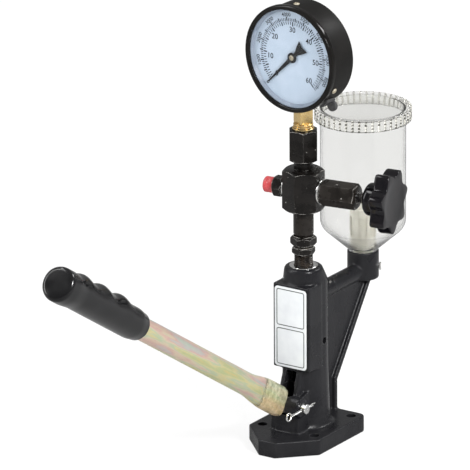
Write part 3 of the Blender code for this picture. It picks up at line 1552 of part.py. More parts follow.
def make_knob(plastic, arm):
    """Star knob: a lobed head with rounded edges and a dished face, on a round hub."""
    tip = KNOB_TIP_RADIUS
    depth = KNOB_FLUTE_DEPTH
    edge = KNOB_EDGE_ROUND
    middle = edge * (1 - math.cos(math.radians(45)))
    dish_radius = tip - depth - KNOB_DISH_INSET
    rings = [
        knob_ring(KNOB_HUB_RADIUS - KNOB_HUB_ROUND, KNOB_HUB_START),
        knob_ring(KNOB_HUB_RADIUS, KNOB_HUB_START + KNOB_HUB_ROUND),
        knob_ring(KNOB_HUB_RADIUS, KNOB_STAR_START),
        knob_ring(tip - edge, KNOB_STAR_START, depth),
        knob_ring(tip - middle, KNOB_STAR_START + middle, depth),
        knob_ring(tip, KNOB_STAR_START + edge, depth),
        knob_ring(tip, KNOB_STAR_END - edge, depth),
        knob_ring(tip - middle, KNOB_STAR_END - middle, depth),
        knob_ring(tip - edge, KNOB_STAR_END, depth),
        knob_ring(dish_radius, KNOB_STAR_END),
        knob_ring(dish_radius / 2, KNOB_STAR_END - KNOB_DISH_DEPTH),
    ]
    knob = loft("valve_knob", rings)
    socket = rod(
        "knob_socket",
        SPINDLE_RADIUS + GAP,
        KNOB_HUB_START - OVERRUN,
        KNOB_HUB_START + KNOB_SOCKET_DEPTH,
        SMALL,
    )
    finished(cut(knob, helper(socket, arm)), plastic, arm)


def make_outlet(black, bright, arm):
    """Washer and fitting on the left arm, where the injector pipe goes."""
    face = BLOCK_FLATS / 2
    washer_low = face + GAP
    washer_high = washer_low + OUTLET_WASHER_THICKNESS
    inner = OUTLET_SPIGOT_RADIUS + GAP
    finished(ring("outlet_washer", OUTLET_WASHER_RADIUS, inner, washer_low, washer_high), bright, arm)

    hex_low = washer_high + GAP
    fitting = hex_bar("outlet_fitting", OUTLET_FLATS, hex_low, OUTLET_HEX_END, arm)
    nose_end = OUTLET_NOSE_END
    spigot_low = face - PORT_DEPTH + GAP
    edge = OUTLET_EDGE
    core = helper(
        turned(
            "outlet_core",
            [
                (0, nose_end),
                (OUTLET_NOSE_RADIUS - edge, nose_end),
                (OUTLET_NOSE_RADIUS, nose_end - edge),
                (OUTLET_NOSE_RADIUS, hex_low + OVERRUN),
                (OUTLET_SPIGOT_RADIUS, hex_low + OVERRUN),
                (OUTLET_SPIGOT_RADIUS, spigot_low),
                (0, spigot_low),
            ],
        ),
        arm,
    )
    bore = helper(rod("outlet_bore", FUEL_BORE_RADIUS, spigot_low - OVERRUN, nose_end + OVERRUN, TINY), arm)
    finished(cut(fuse(fitting, core), bore), black, arm)


def make_dust_cap(red, arm):
    """Soft cap over the nose of the outlet, with a groove round it."""
    low = OUTLET_HEX_END + GAP
    inside = OUTLET_NOSE_RADIUS + GAP
    floor = OUTLET_NOSE_END + GAP
    rib = CAP_RADIUS - CAP_RIB_DEPTH
    middle = (low + CAP_END) / 2
    cap = turned(
        "dust_cap",
        [
            (0, CAP_END),
            (CAP_RADIUS - CAP_WALL, CAP_END),
            (CAP_RADIUS, CAP_END - CAP_WALL),
            (CAP_RADIUS, middle + CAP_WALL / 2),
            (rib, middle),
            (CAP_RADIUS, middle - CAP_WALL / 2),
            (CAP_RADIUS, low),
            (inside, low),
            (inside, floor),
            (0, floor),
        ],
        SMALL,
    )
    finished(cap, red, arm)


def make_cup(clear, axis):
    """Clear fuel cup on the boss: neck, funnel and straight wall."""
    seat = BOSS_HIGH_Z + GAP
    bore = CUP_BORE_RADIUS
    rise = CUP_FLOOR_RISE
    inside_low = CUP_FUNNEL_LOW_RADIUS - CUP_WALL
    shoulder = CUP_SHOULDER_ROUND
    out_share = math.sin(CUP_SLOPE)
    along = math.cos(CUP_SLOPE)
    cup = turned(
        "fuel_cup",
        [
            (CUP_RADIUS, CUP_HIGH_Z),
            (CUP_RADIUS, CUP_FUNNEL_HIGH_Z + shoulder),
            (CUP_RADIUS - shoulder * out_share / 3, CUP_FUNNEL_HIGH_Z + shoulder / 4),
            (CUP_RADIUS - shoulder * out_share, CUP_FUNNEL_HIGH_Z - shoulder * along),
            (CUP_FUNNEL_LOW_RADIUS, CUP_FUNNEL_LOW_Z),
            (CUP_FUNNEL_LOW_RADIUS - CUP_WALL / 2, seat),
            (CUP_NECK_RADIUS, seat),
            (CUP_NECK_RADIUS, CUP_NECK_LOW_Z),
            (bore, CUP_NECK_LOW_Z),
            (bore, CUP_FUNNEL_LOW_Z + rise),
            (inside_low, CUP_FUNNEL_LOW_Z + rise),
            (CUP_RADIUS - CUP_WALL - shoulder * out_share, CUP_FUNNEL_HIGH_Z - shoulder * along + rise),
            (CUP_RADIUS - CUP_WALL, CUP_FUNNEL_HIGH_Z + shoulder + rise),
            (CUP_RADIUS - CUP_WALL, CUP_HIGH_Z),
        ],
        FINE,
    )
    finished(cup, clear, axis)


def make_strainer(cream, axis):
    """Strainer in the neck of the cup: a closed tube with tall windows and a spigot."""
    flange_low = CUP_FUNNEL_LOW_Z + CUP_FLOOR_RISE + GAP
    spigot = CUP_BORE_RADIUS - GAP
    hollow = spigot - STRAINER_WALL
    wide = CUP_FUNNEL_LOW_RADIUS - CUP_WALL - GAP
    strainer = turned(
        "fuel_strainer",
        [
            (0, STRAINER_HIGH_Z),
            (STRAINER_RADIUS - STRAINER_WALL, STRAINER_HIGH_Z),
            (STRAINER_RADIUS, STRAINER_HIGH_Z - STRAINER_WALL),
            (STRAINER_RADIUS, flange_low + STRAINER_WALL),
            (wide, flange_low + STRAINER_WALL),
            (wide, flange_low),
            (spigot, flange_low),
            (spigot, flange_low - STRAINER_SPIGOT_LENGTH),
            (hollow, flange_low - STRAINER_SPIGOT_LENGTH),
            (hollow, flange_low),
            (STRAINER_RADIUS - STRAINER_WALL, flange_low + STRAINER_WALL),
            (STRAINER_RADIUS - STRAINER_WALL, STRAINER_HIGH_Z - STRAINER_WALL),
            (0, STRAINER_HIGH_Z - STRAINER_WALL),
        ],
    )
    middle = (flange_low + STRAINER_HIGH_Z) / 2
    half_width = STRAINER_WINDOW_WIDTH / 2
    half_height = STRAINER_WINDOW_HEIGHT / 2
    for number in range(STRAINER_WINDOWS):
        window = block(
            f"strainer_window_{number}",
            (hollow, -half_width, middle - half_height),
            (STRAINER_RADIUS + OVERRUN, half_width, middle + half_height),
        )
        turn = Matrix.Rotation(number * math.tau / STRAINER_WINDOWS, 4, "Z")
        cut(strainer, helper(moved(window, turn), axis))
    finished(strainer, cream, axis)


def lid_outline():
    """A round outline with square ribs, as on a moulded cap."""
    low = LID_RADIUS - LID_RIB_DEPTH
    rib_shares = [(share, low) for share in LID_RIB_FOOT_SHARES]
    rib_shares += [(share, LID_RADIUS) for share in LID_RIB_TOP_SHARES]
    points = []
    for number in range(LID_RIBS):
        for share, radius in rib_shares:
            angle = (number + share) * math.tau / LID_RIBS
            points.append((radius * math.cos(angle), radius * math.sin(angle)))
    return points


def make_lid(clear, axis):
    """Lid that lifts off the cup: ribbed skirt, flat top with a low rim."""
    ribs_high = LID_HIGH_Z - LID_RIM_HEIGHT - LID_RIB_LOW_INSET
    lid = plate("cup_lid", lid_outline(), LID_LOW_Z + LID_RIB_LOW_INSET, ribs_high)
    core_radius = LID_RADIUS - LID_RIB_DEPTH
    top = LID_HIGH_Z - LID_RIM_HEIGHT
    rim_inner = core_radius - LID_RIM_WIDTH
    core = helper(
        turned(
            "lid_core",
            [
                (0, top),
                (rim_inner, top),
                (rim_inner, LID_HIGH_Z),
                (core_radius - LID_RIM_HEIGHT, LID_HIGH_Z),
                (core_radius + LID_RIB_DEPTH / 3, top - LID_RIM_HEIGHT),
                (core_radius + LID_RIB_DEPTH / 3, LID_LOW_Z),
                (0, LID_LOW_Z),
            ],
            FINE,
        ),
        axis,
    )
    under = CUP_HIGH_Z + GAP
    inside = CUP_RADIUS + RUN_CLEARANCE
    hollow = helper(rod("lid_hollow", inside, LID_LOW_Z - OVERRUN, under, FINE), axis)
    finished(cut(fuse(lid, core), hollow), clear, axis)


def section(across, upright, along, segments, power=2.0):
    """A ring of points round the lever's axis, in the lever's own frame. Power above 2 squares it."""
    points = []
    for i in range(segments):
        angle = math.tau * i / segments
        side = math.cos(angle)
        rise = math.sin(angle)
        x = across * math.copysign(abs(side) ** (2 / power), side)
        z = upright * math.copysign(abs(rise) ** (2 / power), rise)
        points.append((x, -along, z))
    return points


def eased(value, low, high):
    """0 below low, 1 above high, with a smooth rise between."""
    share = min(max((value - low) / (high - low), 0), 1)
    return share * share * (3 - 2 * share)


def tube_half_sizes(along):
    """Half thickness, half height and squareness of the lever tube at a place along it."""
    to_round = eased(along, TUBE_FLAT_END, TUBE_ROUND_START)
    mouth = eased(along, TUBE_START, TUBE_FLAT_START)
    flat_height = TUBE_MOUTH_HALF_HEIGHT + (TUBE_FLAT_HALF_HEIGHT - TUBE_MOUTH_HALF_HEIGHT) * mouth
    height = flat_height + (TUBE_RADIUS - flat_height) * to_round
    crease = max(0, 1 - abs(along - TUBE_CREASE) / TUBE_CREASE_LENGTH)
    across = TUBE_FLAT_HALF_THICKNESS + (TUBE_RADIUS - TUBE_FLAT_HALF_THICKNESS) * to_round
    across -= TUBE_CREASE_DEPTH * crease
    return across, height, TUBE_FLAT_POWER + (TUBE_ROUND_POWER - TUBE_FLAT_POWER) * to_round


def make_lever_block(steel, frame):
    """Lever block: hub on the pin, nose that pushes the tappet, and a flat tang in the tube."""
    nose_angle = LEVER_RAISE - INNER_ARM_DROP
    nose = (INNER_ARM * math.cos(nose_angle), INNER_ARM * math.sin(nose_angle))
    lean = math.asin((LEVER_HUB_RADIUS - LEVER_NOSE_RADIUS) / INNER_ARM)
    side = math.radians(90) - lean
    nose_neck = math.pi - math.asin(LEVER_NECK_HALF_WIDTH / LEVER_NOSE_RADIUS)
    hub_neck = math.asin(LEVER_NECK_HALF_WIDTH / LEVER_HUB_RADIUS)
    steps = LEVER_ARC_STEPS
    outline = arc_points(nose, LEVER_NOSE_RADIUS, nose_angle - side, nose_angle + nose_neck, steps)
    hub_end = nose_angle + math.tau - side
    outline += arc_points((0, 0), LEVER_HUB_RADIUS, nose_angle + hub_neck, hub_end, steps)
    half = LEVER_HUB_HALF_WIDTH
    lever_block = moved(plate("lever_block", outline, -half, half), SIDEWAYS)
    tang = helper(
        block(
            "lever_tang",
            (-TANG_HALF_THICKNESS, -TANG_END, -TANG_HALF_HEIGHT),
            (TANG_HALF_THICKNESS, -TANG_START, TANG_HALF_HEIGHT),
            TANG_HALF_THICKNESS / 3,
        ),
        frame,
    )
    hole = rod("lever_pin_hole", PIN_RADIUS + GAP, -half - OVERRUN, half + OVERRUN, SMALL)
    hole = helper(moved(hole, ACROSS), frame)
    shoulder = helper(
        block(
            "tube_clearance",
            (-half - OVERRUN, -TANG_END - OVERRUN, -TUBE_FLAT_HALF_HEIGHT - OVERRUN),
            (-TANG_HALF_THICKNESS, -TUBE_START + GAP, TUBE_FLAT_HALF_HEIGHT + OVERRUN),
        ),
        frame,
    )
    finished(cut(fuse(lever_block, tang), hole, shoulder), steel, frame)


def make_lever_tube(plated, frame):
    """Pressed tube: flat over the tang, creased, then round up to the grip."""
    places = [
        TUBE_START,
        TUBE_FLAT_START,
        TUBE_FLAT_END,
        (TUBE_FLAT_END + TUBE_CREASE) / 2,
        TUBE_CREASE - TUBE_CREASE_LENGTH,
        TUBE_CREASE,
        TUBE_CREASE + TUBE_CREASE_LENGTH,
        (TUBE_CREASE + TUBE_ROUND_START) / 2,
        TUBE_ROUND_START,
        TUBE_END,
    ]
    outer = []
    inner = []
    for along in places:
        across, height, power = tube_half_sizes(along)
        outer.append(section(across, height, along, MEDIUM, power))
        inner.append(section(across - TUBE_WALL, height - TUBE_WALL, along, MEDIUM, power))
    finished(loft("lever_tube", outer + inner[::-1], closed=True), plated, frame)


def grip_radius(along):
    """Radius of the grip before its finger bumps: swollen at the outer end, rounded at both."""
    knob_start = GRIP_END - GRIP_KNOB_RADIUS
    swell = eased(along, knob_start - GRIP_KNOB_RADIUS, knob_start + GRIP_EDGE_ROUND)
    radius = GRIP_RADIUS + (GRIP_KNOB_RADIUS - GRIP_RADIUS) * swell
    radius -= (GRIP_RADIUS - GRIP_MOUTH_RADIUS) * (1 - eased(along, GRIP_START, GRIP_START + GRIP_RADIUS))
    from_end = GRIP_END - along
    if from_end < GRIP_EDGE_ROUND:
        radius -= GRIP_EDGE_ROUND - math.sqrt(GRIP_EDGE_ROUND**2 - (GRIP_EDGE_ROUND - from_end) ** 2)
    return radius


def grip_bump(along):
    """Height of the finger bumps on the upper side of the grip."""
    height = 0
    for number in range(GRIP_BUMPS):
        away = abs(along - GRIP_FIRST_BUMP - number * GRIP_BUMP_SPACING)
        share = max(0, 1 - away / (GRIP_BUMP_SPACING / 2))
        height += GRIP_BUMP_HEIGHT * math.sin(share * math.pi / 2) ** 2
    return height


def make_grip(rubber, frame):
    """Rubber grip: a skin lofted over the tube, with a blind bore."""
    straight = GRIP_LENGTH - GRIP_EDGE_ROUND
    places = [GRIP_START + straight * i / GRIP_STEPS for i in range(GRIP_STEPS + 1)]
    places += [GRIP_END - GRIP_EDGE_ROUND * share for share in GRIP_END_SHARES]
    outer = []
    for along in places:
        radius = grip_radius(along)
        bump = grip_bump(along)
        points = []
        for x, y, z in section(radius, radius, along, MEDIUM):
            rise = max(0, z / radius) ** 2
            points.append((x * (1 + GRIP_BUMP_WIDENING_SHARE * rise), y, z + bump * rise))
        outer.append(points)
    bore = TUBE_RADIUS + GAP
    inner = [section(bore, bore, along, MEDIUM) for along in (GRIP_START, TUBE_END + GAP)]
    finished(loft("lever_grip", inner[::-1] + outer), rubber, frame)


def make_pivot_pin(steel):
    """Pivot pin through the ears, with a head on the left and a hole for the split pin."""
    head = -EAR_HALF_WIDTH - GAP
    pin = turned(
        "pivot_pin",
        [
            (0, PIN_RIGHT_END),
            (PIN_RADIUS - PIN_END_BEVEL, PIN_RIGHT_END),
            (PIN_RADIUS, PIN_RIGHT_END - PIN_END_BEVEL),
            (PIN_RADIUS, head),
            (PIN_HEAD_RADIUS, head),
            (PIN_HEAD_RADIUS, head - PIN_HEAD_HEIGHT + PIN_END_BEVEL),
            (PIN_HEAD_RADIUS - PIN_END_BEVEL, head - PIN_HEAD_HEIGHT),
            (0, head - PIN_HEAD_HEIGHT),
        ],
        SMALL,
    )
    moved(pin, ACROSS)
    hole = rod("cotter_hole", COTTER_HOLE_RADIUS, -PIN_RADIUS - OVERRUN, PIN_RADIUS + OVERRUN, TINY)
    to_cotter = Matrix.Translation((COTTER_X, 0, 0)) @ Matrix.Rotation(math.radians(90), 4, "X")
    pin.matrix_world = AT_PIVOT
    hole = helper(moved(hole, AT_PIVOT @ to_cotter))
    finished(cut(pin, hole), steel)


def make_cotter(bright):
    """Split pin: an eye in front, and a tail that bends away from the column."""
    eye_back = COTTER_EYE_Y + COTTER_EYE_RADIUS - COTTER_RADIUS
    route = [(COTTER_X, eye_back, PIVOT_Z)]
    for step in range(COTTER_TAIL_STEPS + 1):
        share = step / COTTER_TAIL_STEPS
        y = COTTER_BEND_Y + (COTTER_TAIL_Y - COTTER_BEND_Y) * share
        route.append((COTTER_X + (COTTER_TAIL_X - COTTER_X) * eased(share, 0, 1), y, PIVOT_Z))
    cotter = wire("cotter_pin", route, COTTER_RADIUS, 1)
    start = COTTER_EYE_OPENING
    eye_points = arc_points((COTTER_EYE_Y, PIVOT_Z), COTTER_EYE_RADIUS, start, math.tau - start, SMALL)
    eye = wire("cotter_eye", [(COTTER_X, y, z) for y, z in eye_points], COTTER_RADIUS, 1)
    finished(fuse(cotter, helper(eye)), bright)


def main():
    black_paint = new_material("black_paint", (0.025, 0.025, 0.028), 0.45)
    black_oxide = new_material("black_oxide", (0.030, 0.028, 0.026), 0.38, 0.7)
    black_plastic = new_material("black_plastic", (0.018, 0.018, 0.020), 0.22)
    gauge_black = new_material("gauge_black", (0.020, 0.020, 0.022), 0.35)
    needle_black = new_material("needle_black", (0.015, 0.015, 0.017), 0.5)
    grip_rubber = new_material("grip_rubber", (0.020, 0.020, 0.021), 0.3)
    vent_rubber = new_material("vent_rubber", (0.040, 0.040, 0.042), 0.7)
    bright_steel = new_material("bright_steel", (0.78, 0.78, 0.77), 0.25, 1.0)
    ground_steel = new_material("ground_steel", (0.55, 0.56, 0.57), 0.3, 1.0)
    forged_steel = new_material("forged_steel", (0.16, 0.15, 0.15), 0.45, 0.9)
    spring_steel = new_material("spring_steel", (0.35, 0.35, 0.36), 0.35, 1.0)
    yellow_zinc = new_material("yellow_zinc", (0.72, 0.66, 0.42), 0.35, 1.0)
    brass = new_material("brass", (0.80, 0.62, 0.30), 0.3, 1.0)
    phosphor_bronze = new_material("phosphor_bronze", (0.70, 0.42, 0.25), 0.35, 1.0)
    clear_plastic = new_material("clear_plastic", (0.90, 0.91, 0.90), 0.1, 0.0, 0.25)
    window_glass = new_material("window_glass", (0.95, 0.97, 1.0), 0.03, 0.0, 0.15)
    cream_plastic = new_material("cream_plastic", (0.85, 0.82, 0.68), 0.5)
    red_plastic = new_material("red_plastic", (0.75, 0.05, 0.05), 0.35)
    dial_paint = new_material("dial_paint", (0.78, 0.86, 0.93), 0.5)
    plate_silver = new_material("plate_silver", (0.80, 0.80, 0.80), 0.35, 0.5)

    arm_turn = Matrix.Translation((0, 0, PORT_AXIS_Z)) @ Matrix.Rotation(BLOCK_TURN, 4, "Z")
    half_turn = Matrix.Rotation(math.pi, 4, "Z")
    valve_arm = new_frame("valve_arm", arm_turn @ ACROSS)
    outlet_arm = new_frame("outlet_arm", arm_turn @ half_turn @ ACROSS)
    gauge_turn = Matrix.Rotation(GAUGE_TURN, 4, "Z") @ Matrix.Rotation(math.radians(90), 4, "X")
    gauge = new_frame("gauge_axis", Matrix.Translation((0, 0, GAUGE_Z)) @ gauge_turn)
    cup_axis = new_frame("cup_axis", AT_CUP)
    lever = new_frame("lever_axis", AT_PIVOT @ Matrix.Rotation(-LEVER_RAISE, 4, "X"))

    make_housing(black_paint)
    make_boss_plug(bright_steel)
    make_label_plate(plate_silver)
    make_barrel(ground_steel)
    make_plunger(ground_steel)
    make_tappet(forged_steel)
    make_spring_seat(forged_steel)
    make_return_spring(spring_steel)
    make_valve_seat(ground_steel)
    make_valve_ball(ground_steel)
    make_valve_spring(spring_steel)
    make_holder(black_oxide, bright_steel)
    make_nuts(black_oxide)
    make_cross_block(black_oxide, valve_arm, outlet_arm)
    make_gauge_mounting(black_oxide, bright_steel, brass)
    make_gauge_shell(gauge_black, brass, gauge)
    make_window_and_dial(window_glass, dial_paint, gauge)
    make_vent_plug(vent_rubber, gauge)
    make_movement_frame(brass, gauge)
    make_arbor(brass, gauge)
    make_needle(needle_black, gauge)
    make_needle_cap(brass, gauge)
    make_bourdon_tube(phosphor_bronze, gauge)
    make_bonnet(black_oxide, bright_steel, valve_arm)
    make_spindle(forged_steel, valve_arm)
    make_knob(black_plastic, valve_arm)
    make_outlet(black_oxide, bright_steel, outlet_arm)
    make_dust_cap(red_plastic, outlet_arm)
    make_cup(clear_plastic, cup_axis)
    make_strainer(cream_plastic, cup_axis)
    make_lid(clear_plastic, cup_axis)
    make_lever_block(forged_steel, lever)
    make_lever_tube(yellow_zinc, lever)
    make_grip(grip_rubber, lever)
    make_pivot_pin(ground_steel)
    make_cotter(bright_steel)


clear_scene()
PARTS = new_collection("diesel_injector_tester")
CUTTERS = new_collection("cutters")
main()
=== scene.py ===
import math

import bmesh
import bpy
from mathutils import Matrix, Vector


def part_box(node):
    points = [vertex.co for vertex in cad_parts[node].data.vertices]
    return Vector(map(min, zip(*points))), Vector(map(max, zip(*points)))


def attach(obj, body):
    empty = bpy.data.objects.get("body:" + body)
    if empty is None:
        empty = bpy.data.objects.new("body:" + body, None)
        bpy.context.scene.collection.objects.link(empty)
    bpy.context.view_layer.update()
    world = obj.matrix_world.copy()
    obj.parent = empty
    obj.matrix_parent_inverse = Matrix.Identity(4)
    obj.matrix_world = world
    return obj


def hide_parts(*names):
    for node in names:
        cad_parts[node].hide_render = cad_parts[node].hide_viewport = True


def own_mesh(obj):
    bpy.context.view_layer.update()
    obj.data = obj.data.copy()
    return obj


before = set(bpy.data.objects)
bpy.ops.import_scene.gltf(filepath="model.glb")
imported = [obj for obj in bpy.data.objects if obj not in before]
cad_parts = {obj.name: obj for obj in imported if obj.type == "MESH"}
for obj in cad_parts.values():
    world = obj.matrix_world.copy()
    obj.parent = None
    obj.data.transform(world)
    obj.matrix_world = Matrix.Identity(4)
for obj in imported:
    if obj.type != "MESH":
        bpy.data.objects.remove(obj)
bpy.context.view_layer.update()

# The casting: foot, pump column, box for the plate, cheeks and ears for the lever, oil arm, cup
# boss and rear web in one piece of grey iron, painted black. The cast shapes flow into each other
# with soft fillets, and the bores, the slot and the bolt holes are cut after casting.
FOOT_THICKNESS = 0.014
FOOT_HALF_WIDTH = 0.0355
FOOT_NOSE_Y = -0.058
FOOT_SHOULDER_Y = -0.0305
FOOT_BACK_Y = 0.0435
FOOT_NOSE_HALF_WIDTH = 0.008
FOOT_BACK_ROUND = 0.007
BOLT_HOLE_RADIUS = 0.00425
BOLT_HOLES = ((0.026, -0.024), (-0.026, -0.024), (0.026, 0.033), (-0.026, 0.033))
COLUMN_PROFILE = (
    (0.0225, 0.014), (0.0212, 0.0152), (0.0201, 0.0177), (0.0192, 0.023), (0.0178, 0.068),
    (0.0176, 0.1405), (0.0165, 0.1512), (0.0157, 0.1532), (0.0137, 0.154),
)
COLUMN_TOP_Z = 0.154
COLUMN_NECK_Z = 0.1405
COLUMN_CROWN_Z = 0.1512
COLUMN_DRAW_BACK = 0.005
BOX_HALF_WIDTH = 0.018
BOX_FRONT_Y = -0.0196
BOX_LOW_Z = 0.0665
BOX_HIGH_Z = 0.141
CHEEK_HALF_WIDTH = 0.0092
CHEEK_SIDE_VIEW = (
    (0.000, 0.004), (-0.0327, 0.004), (-0.0320, 0.014), (-0.0290, 0.033), (-0.0245, 0.0495),
    (-0.0186, 0.066), (-0.0186, 0.070), (0.000, 0.070),
)
EAR_RIB_HALF_WIDTH = 0.0138
EAR_RIB_SIDE_VIEW = ((0.0, 0.006), (0.0, 0.0512), (-0.030, 0.0427), (-0.0296, 0.0318), (-0.0308, 0.006))
PIVOT = Vector((0, -0.030, 0.0385))
EAR_RADIUS = 0.0085
EAR_HALF_WIDTH = 0.018
SLOT_HALF_WIDTH = 0.006
SLOT_SIDE_VIEW = (
    (-0.160, 0.029), (-0.029, 0.029), (-0.012, 0.0205), (0.0, 0.0205), (0.0, 0.054), (-0.160, 0.054),
)
UPPER_SLOT_HALF_WIDTH = 0.0052
UPPER_SLOT_SIDE_VIEW = ((-0.160, 0.050), (0.0, 0.050), (0.0, 0.0655), (-0.160, 0.0655))
CHAMBER_FLOOR_Z = 0.0205
PIN_HOLE_RADIUS = 0.00455
RING_SEAT_RADIUS = 0.0124
RING_SEAT_Z = 0.1526
BARREL_BORE = 0.0115
BARREL_SHOULDER_Z = 0.092
TAPPET_BORE = 0.0105
LEAK_HOLE_RADIUS = 0.0031
LEAK_HOLE_Z = 0.0885
CUP_AXIS_Y = 0.0925
OIL_ARM_Z = 0.1235
OIL_ARM_RADIUS = 0.0072
BOSS_RADIUS = 0.0135
BOSS_LOW_Z = 0.1163
BOSS_HIGH_Z = 0.141
BOSS_BORE = 0.0103
BOSS_FLOOR_Z = 0.1185
WEB_HALF_THICKNESS = 0.003
WEB_SIDE_VIEW = (
    (0.0, 0.006), (0.040, 0.006), (0.040, 0.041), (0.094, 0.118), (0.0925, 0.1217), (0.0, 0.1217),
)
FLANGE_HALF_WIDTH = 0.0065
FLANGE_SIDE_VIEW = (
    (0.0380, 0.006), (0.0425, 0.006), (0.0425, 0.040), (0.0986, 0.1186), (0.0931, 0.1186), (0.0380, 0.0421),
)
CAST_VOXEL = 0.0008
CAST_SMOOTHING = 8
CAST_SOFTNESS = 0.5
CLEAR = 0.0003
EASED_SHARE = 0.45
NEARLY_STRAIGHT = math.radians(165)


def scene_object(name, data):
    obj = bpy.data.objects.new(name, data)
    bpy.context.scene.collection.objects.link(obj)
    return obj


def evaluated_mesh(obj):
    """The mesh of an object with its modifiers applied, or of a curve or a text."""
    bpy.context.view_layer.update()
    graph = bpy.context.evaluated_depsgraph_get()
    return bpy.data.meshes.new_from_object(obj.evaluated_get(graph))


def with_modifiers_applied(obj):
    mesh = evaluated_mesh(obj)
    obj.modifiers.clear()
    obj.data = mesh
    return obj


def built(name, work, closed=True):
    """The worked mesh as an object. The faces of a closed one are turned to look outwards."""
    if closed:
        bmesh.ops.recalc_face_normals(work, faces=work.faces)
    mesh = bpy.data.meshes.new(name)
    work.to_mesh(mesh)
    work.free()
    return scene_object(name, mesh)


def bridge(work, one, other):
    """Faces between two rings of vertices. A ring on the axis is one vertex, given many times."""
    for i in range(len(one)):
        j = (i + 1) % len(one)
        corners = list(dict.fromkeys((one[i], one[j], other[j], other[i])))
        if len(corners) > 2:
            work.faces.new(corners)


def polar(radius, turn, *height):
    """A point at a distance from the Z axis and at an angle round it."""
    return (radius * math.cos(turn), radius * math.sin(turn), *height)


def arc(centre, radius, start, sweep, steps):
    """The points of an arc, both ends included."""
    points = [polar(radius, start + sweep * i / steps) for i in range(steps + 1)]
    return [(centre[0] + x, centre[1] + y) for x, y in points]


def revolved(name, profile, facets=96):
    """A closed profile of (radius, height) points turned about Z, open or shut at the axis."""
    work = bmesh.new()
    rows = []
    for radius, height in profile:
        if radius == 0:
            rows.append([work.verts.new((0, 0, height))] * facets)
        else:
            rows.append([work.verts.new(polar(radius, math.tau * i / facets, height)) for i in range(facets)])
    if profile[0][0] or profile[-1][0]:
        rows.append(rows[0])
    for one, other in zip(rows, rows[1:]):
        bridge(work, one, other)
    return built(name, work)


def eased(outline, radius, steps=3):
    """The same outline with its corners rounded. Points on the axis and nearly straight ones stay."""
    result = []
    for i, point in enumerate(outline):
        here = Vector(point)
        before = Vector(outline[i - 1]) - here
        after = Vector(outline[(i + 1) % len(outline)]) - here
        if here.x == 0 or before.angle(after) > NEARLY_STRAIGHT:
            result.append(tuple(here))
            continue
        reach = min(radius, before.length * EASED_SHARE, after.length * EASED_SHARE)
        first = here + before.normalized() * reach
        last = here + after.normalized() * reach
        for step in range(steps + 1):
            share = step / steps
            result.append(tuple(first * (1 - share) ** 2 + here * 2 * share * (1 - share) + last * share**2))
    return result


def prism(name, outline, low, high):
    """A flat outline given thickness along Z."""
    work = bmesh.new()
    face = work.faces.new([work.verts.new((x, y, low)) for x, y in outline])
    up = bmesh.ops.extrude_face_region(work, geom=[face])["geom"]
    top = [v for v in up if isinstance(v, bmesh.types.BMVert)]
    bmesh.ops.translate(work, verts=top, vec=(0, 0, high - low))
    return built(name, work)


def block(name, x, y, z):
    """A box between its lowest and highest x, y and z."""
    return prism(name, [(x[0], y[0]), (x[1], y[0]), (x[1], y[1]), (x[0], y[1])], *z)


def cylinder(name, radius, low, high, facets=64, ease=0.0, bore=0.0):
    """A cylinder along Z, with rounded edges where ease is given, and hollow where it has a bore."""
    profile = [(bore, high), (radius, high), (radius, low), (bore, low)]
    return revolved(name, eased(profile, ease) if ease else profile, facets)


def placed(obj, matrix):
    obj.data.transform(matrix)
    return obj


def boolean(obj, operation, *tools):
    for tool in tools:
        modifier = obj.modifiers.new(tool.name, "BOOLEAN")
        modifier.operation = operation
        modifier.object = tool
    with_modifiers_applied(obj)
    for tool in tools:
        bpy.data.objects.remove(tool)
    return obj


def joined(obj, *others):
    """One object that holds the meshes of them all, still loose from each other."""
    work = bmesh.new()
    for one in (obj, *others):
        work.from_mesh(one.data)
    work.to_mesh(obj.data)
    work.free()
    for one in others:
        bpy.data.objects.remove(one)
    return obj


def bevelled(obj, width, segments=2, angle=math.radians(30)):
    bevel = obj.modifiers.new("edges", "BEVEL")
    bevel.width = width
    bevel.segments = segments
    bevel.limit_method = "ANGLE"
    bevel.angle_limit = angle
    return with_modifiers_applied(obj)


def finished(obj, body, material, *nodes, sharp=math.radians(32)):
    """Gives a piece its material and its body, in place of the CAD nodes it stands for."""
    obj.data.materials.clear()
    obj.data.materials.append(material)
    obj.data.shade_smooth()
    obj.data.set_sharp_from_angle(angle=sharp)
    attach(obj, body)
    if nodes:
        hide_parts(*nodes)
    return obj


def new_material(name, color, roughness, metallic=0.0):
    """A material, its node tree and its shader."""
    material = bpy.data.materials.new(name)
    material.use_nodes = True
    shader = material.node_tree.nodes["Principled BSDF"]
    shader.inputs["Base Color"].default_value = (*color, 1)
    shader.inputs["Roughness"].default_value = roughness
    shader.inputs["Metallic"].default_value = metallic
    return material, material.node_tree, shader


def node(tree, kind, **inputs):
    """A new node with its input sockets set or linked by name."""
    made = tree.nodes.new(kind)
    for name, value in inputs.items():
        feed(tree, made, name.replace("_", " "), value)
    return made


def feed(tree, target, socket, value):
    if isinstance(value, bpy.types.NodeSocket):
        tree.links.new(value, target.inputs[socket])
    else:
        target.inputs[socket].default_value = value


def math_node(tree, operation, *values, clamp=False):
    made = tree.nodes.new("ShaderNodeMath")
    made.operation = operation
    made.use_clamp = clamp
    for i, value in enumerate(values):
        feed(tree, made, i, value)
    return made.outputs[0]


def mixed_color(tree, factor, one, other):
    made = tree.nodes.new("ShaderNodeMix")
    made.data_type = "RGBA"
    feed(tree, made, "Factor", factor)
    for socket, color in ((6, one), (7, other)):
        feed(tree, made, socket, color if isinstance(color, bpy.types.NodeSocket) else (*color, 1))
    return made.outputs[2]


def ranged(tree, value, from_low, from_high, to_low, to_high):
    made = node(
        tree, "ShaderNodeMapRange", Value=value,
        From_Min=from_low, From_Max=from_high, To_Min=to_low, To_Max=to_high,
    )
    return made.outputs[0]


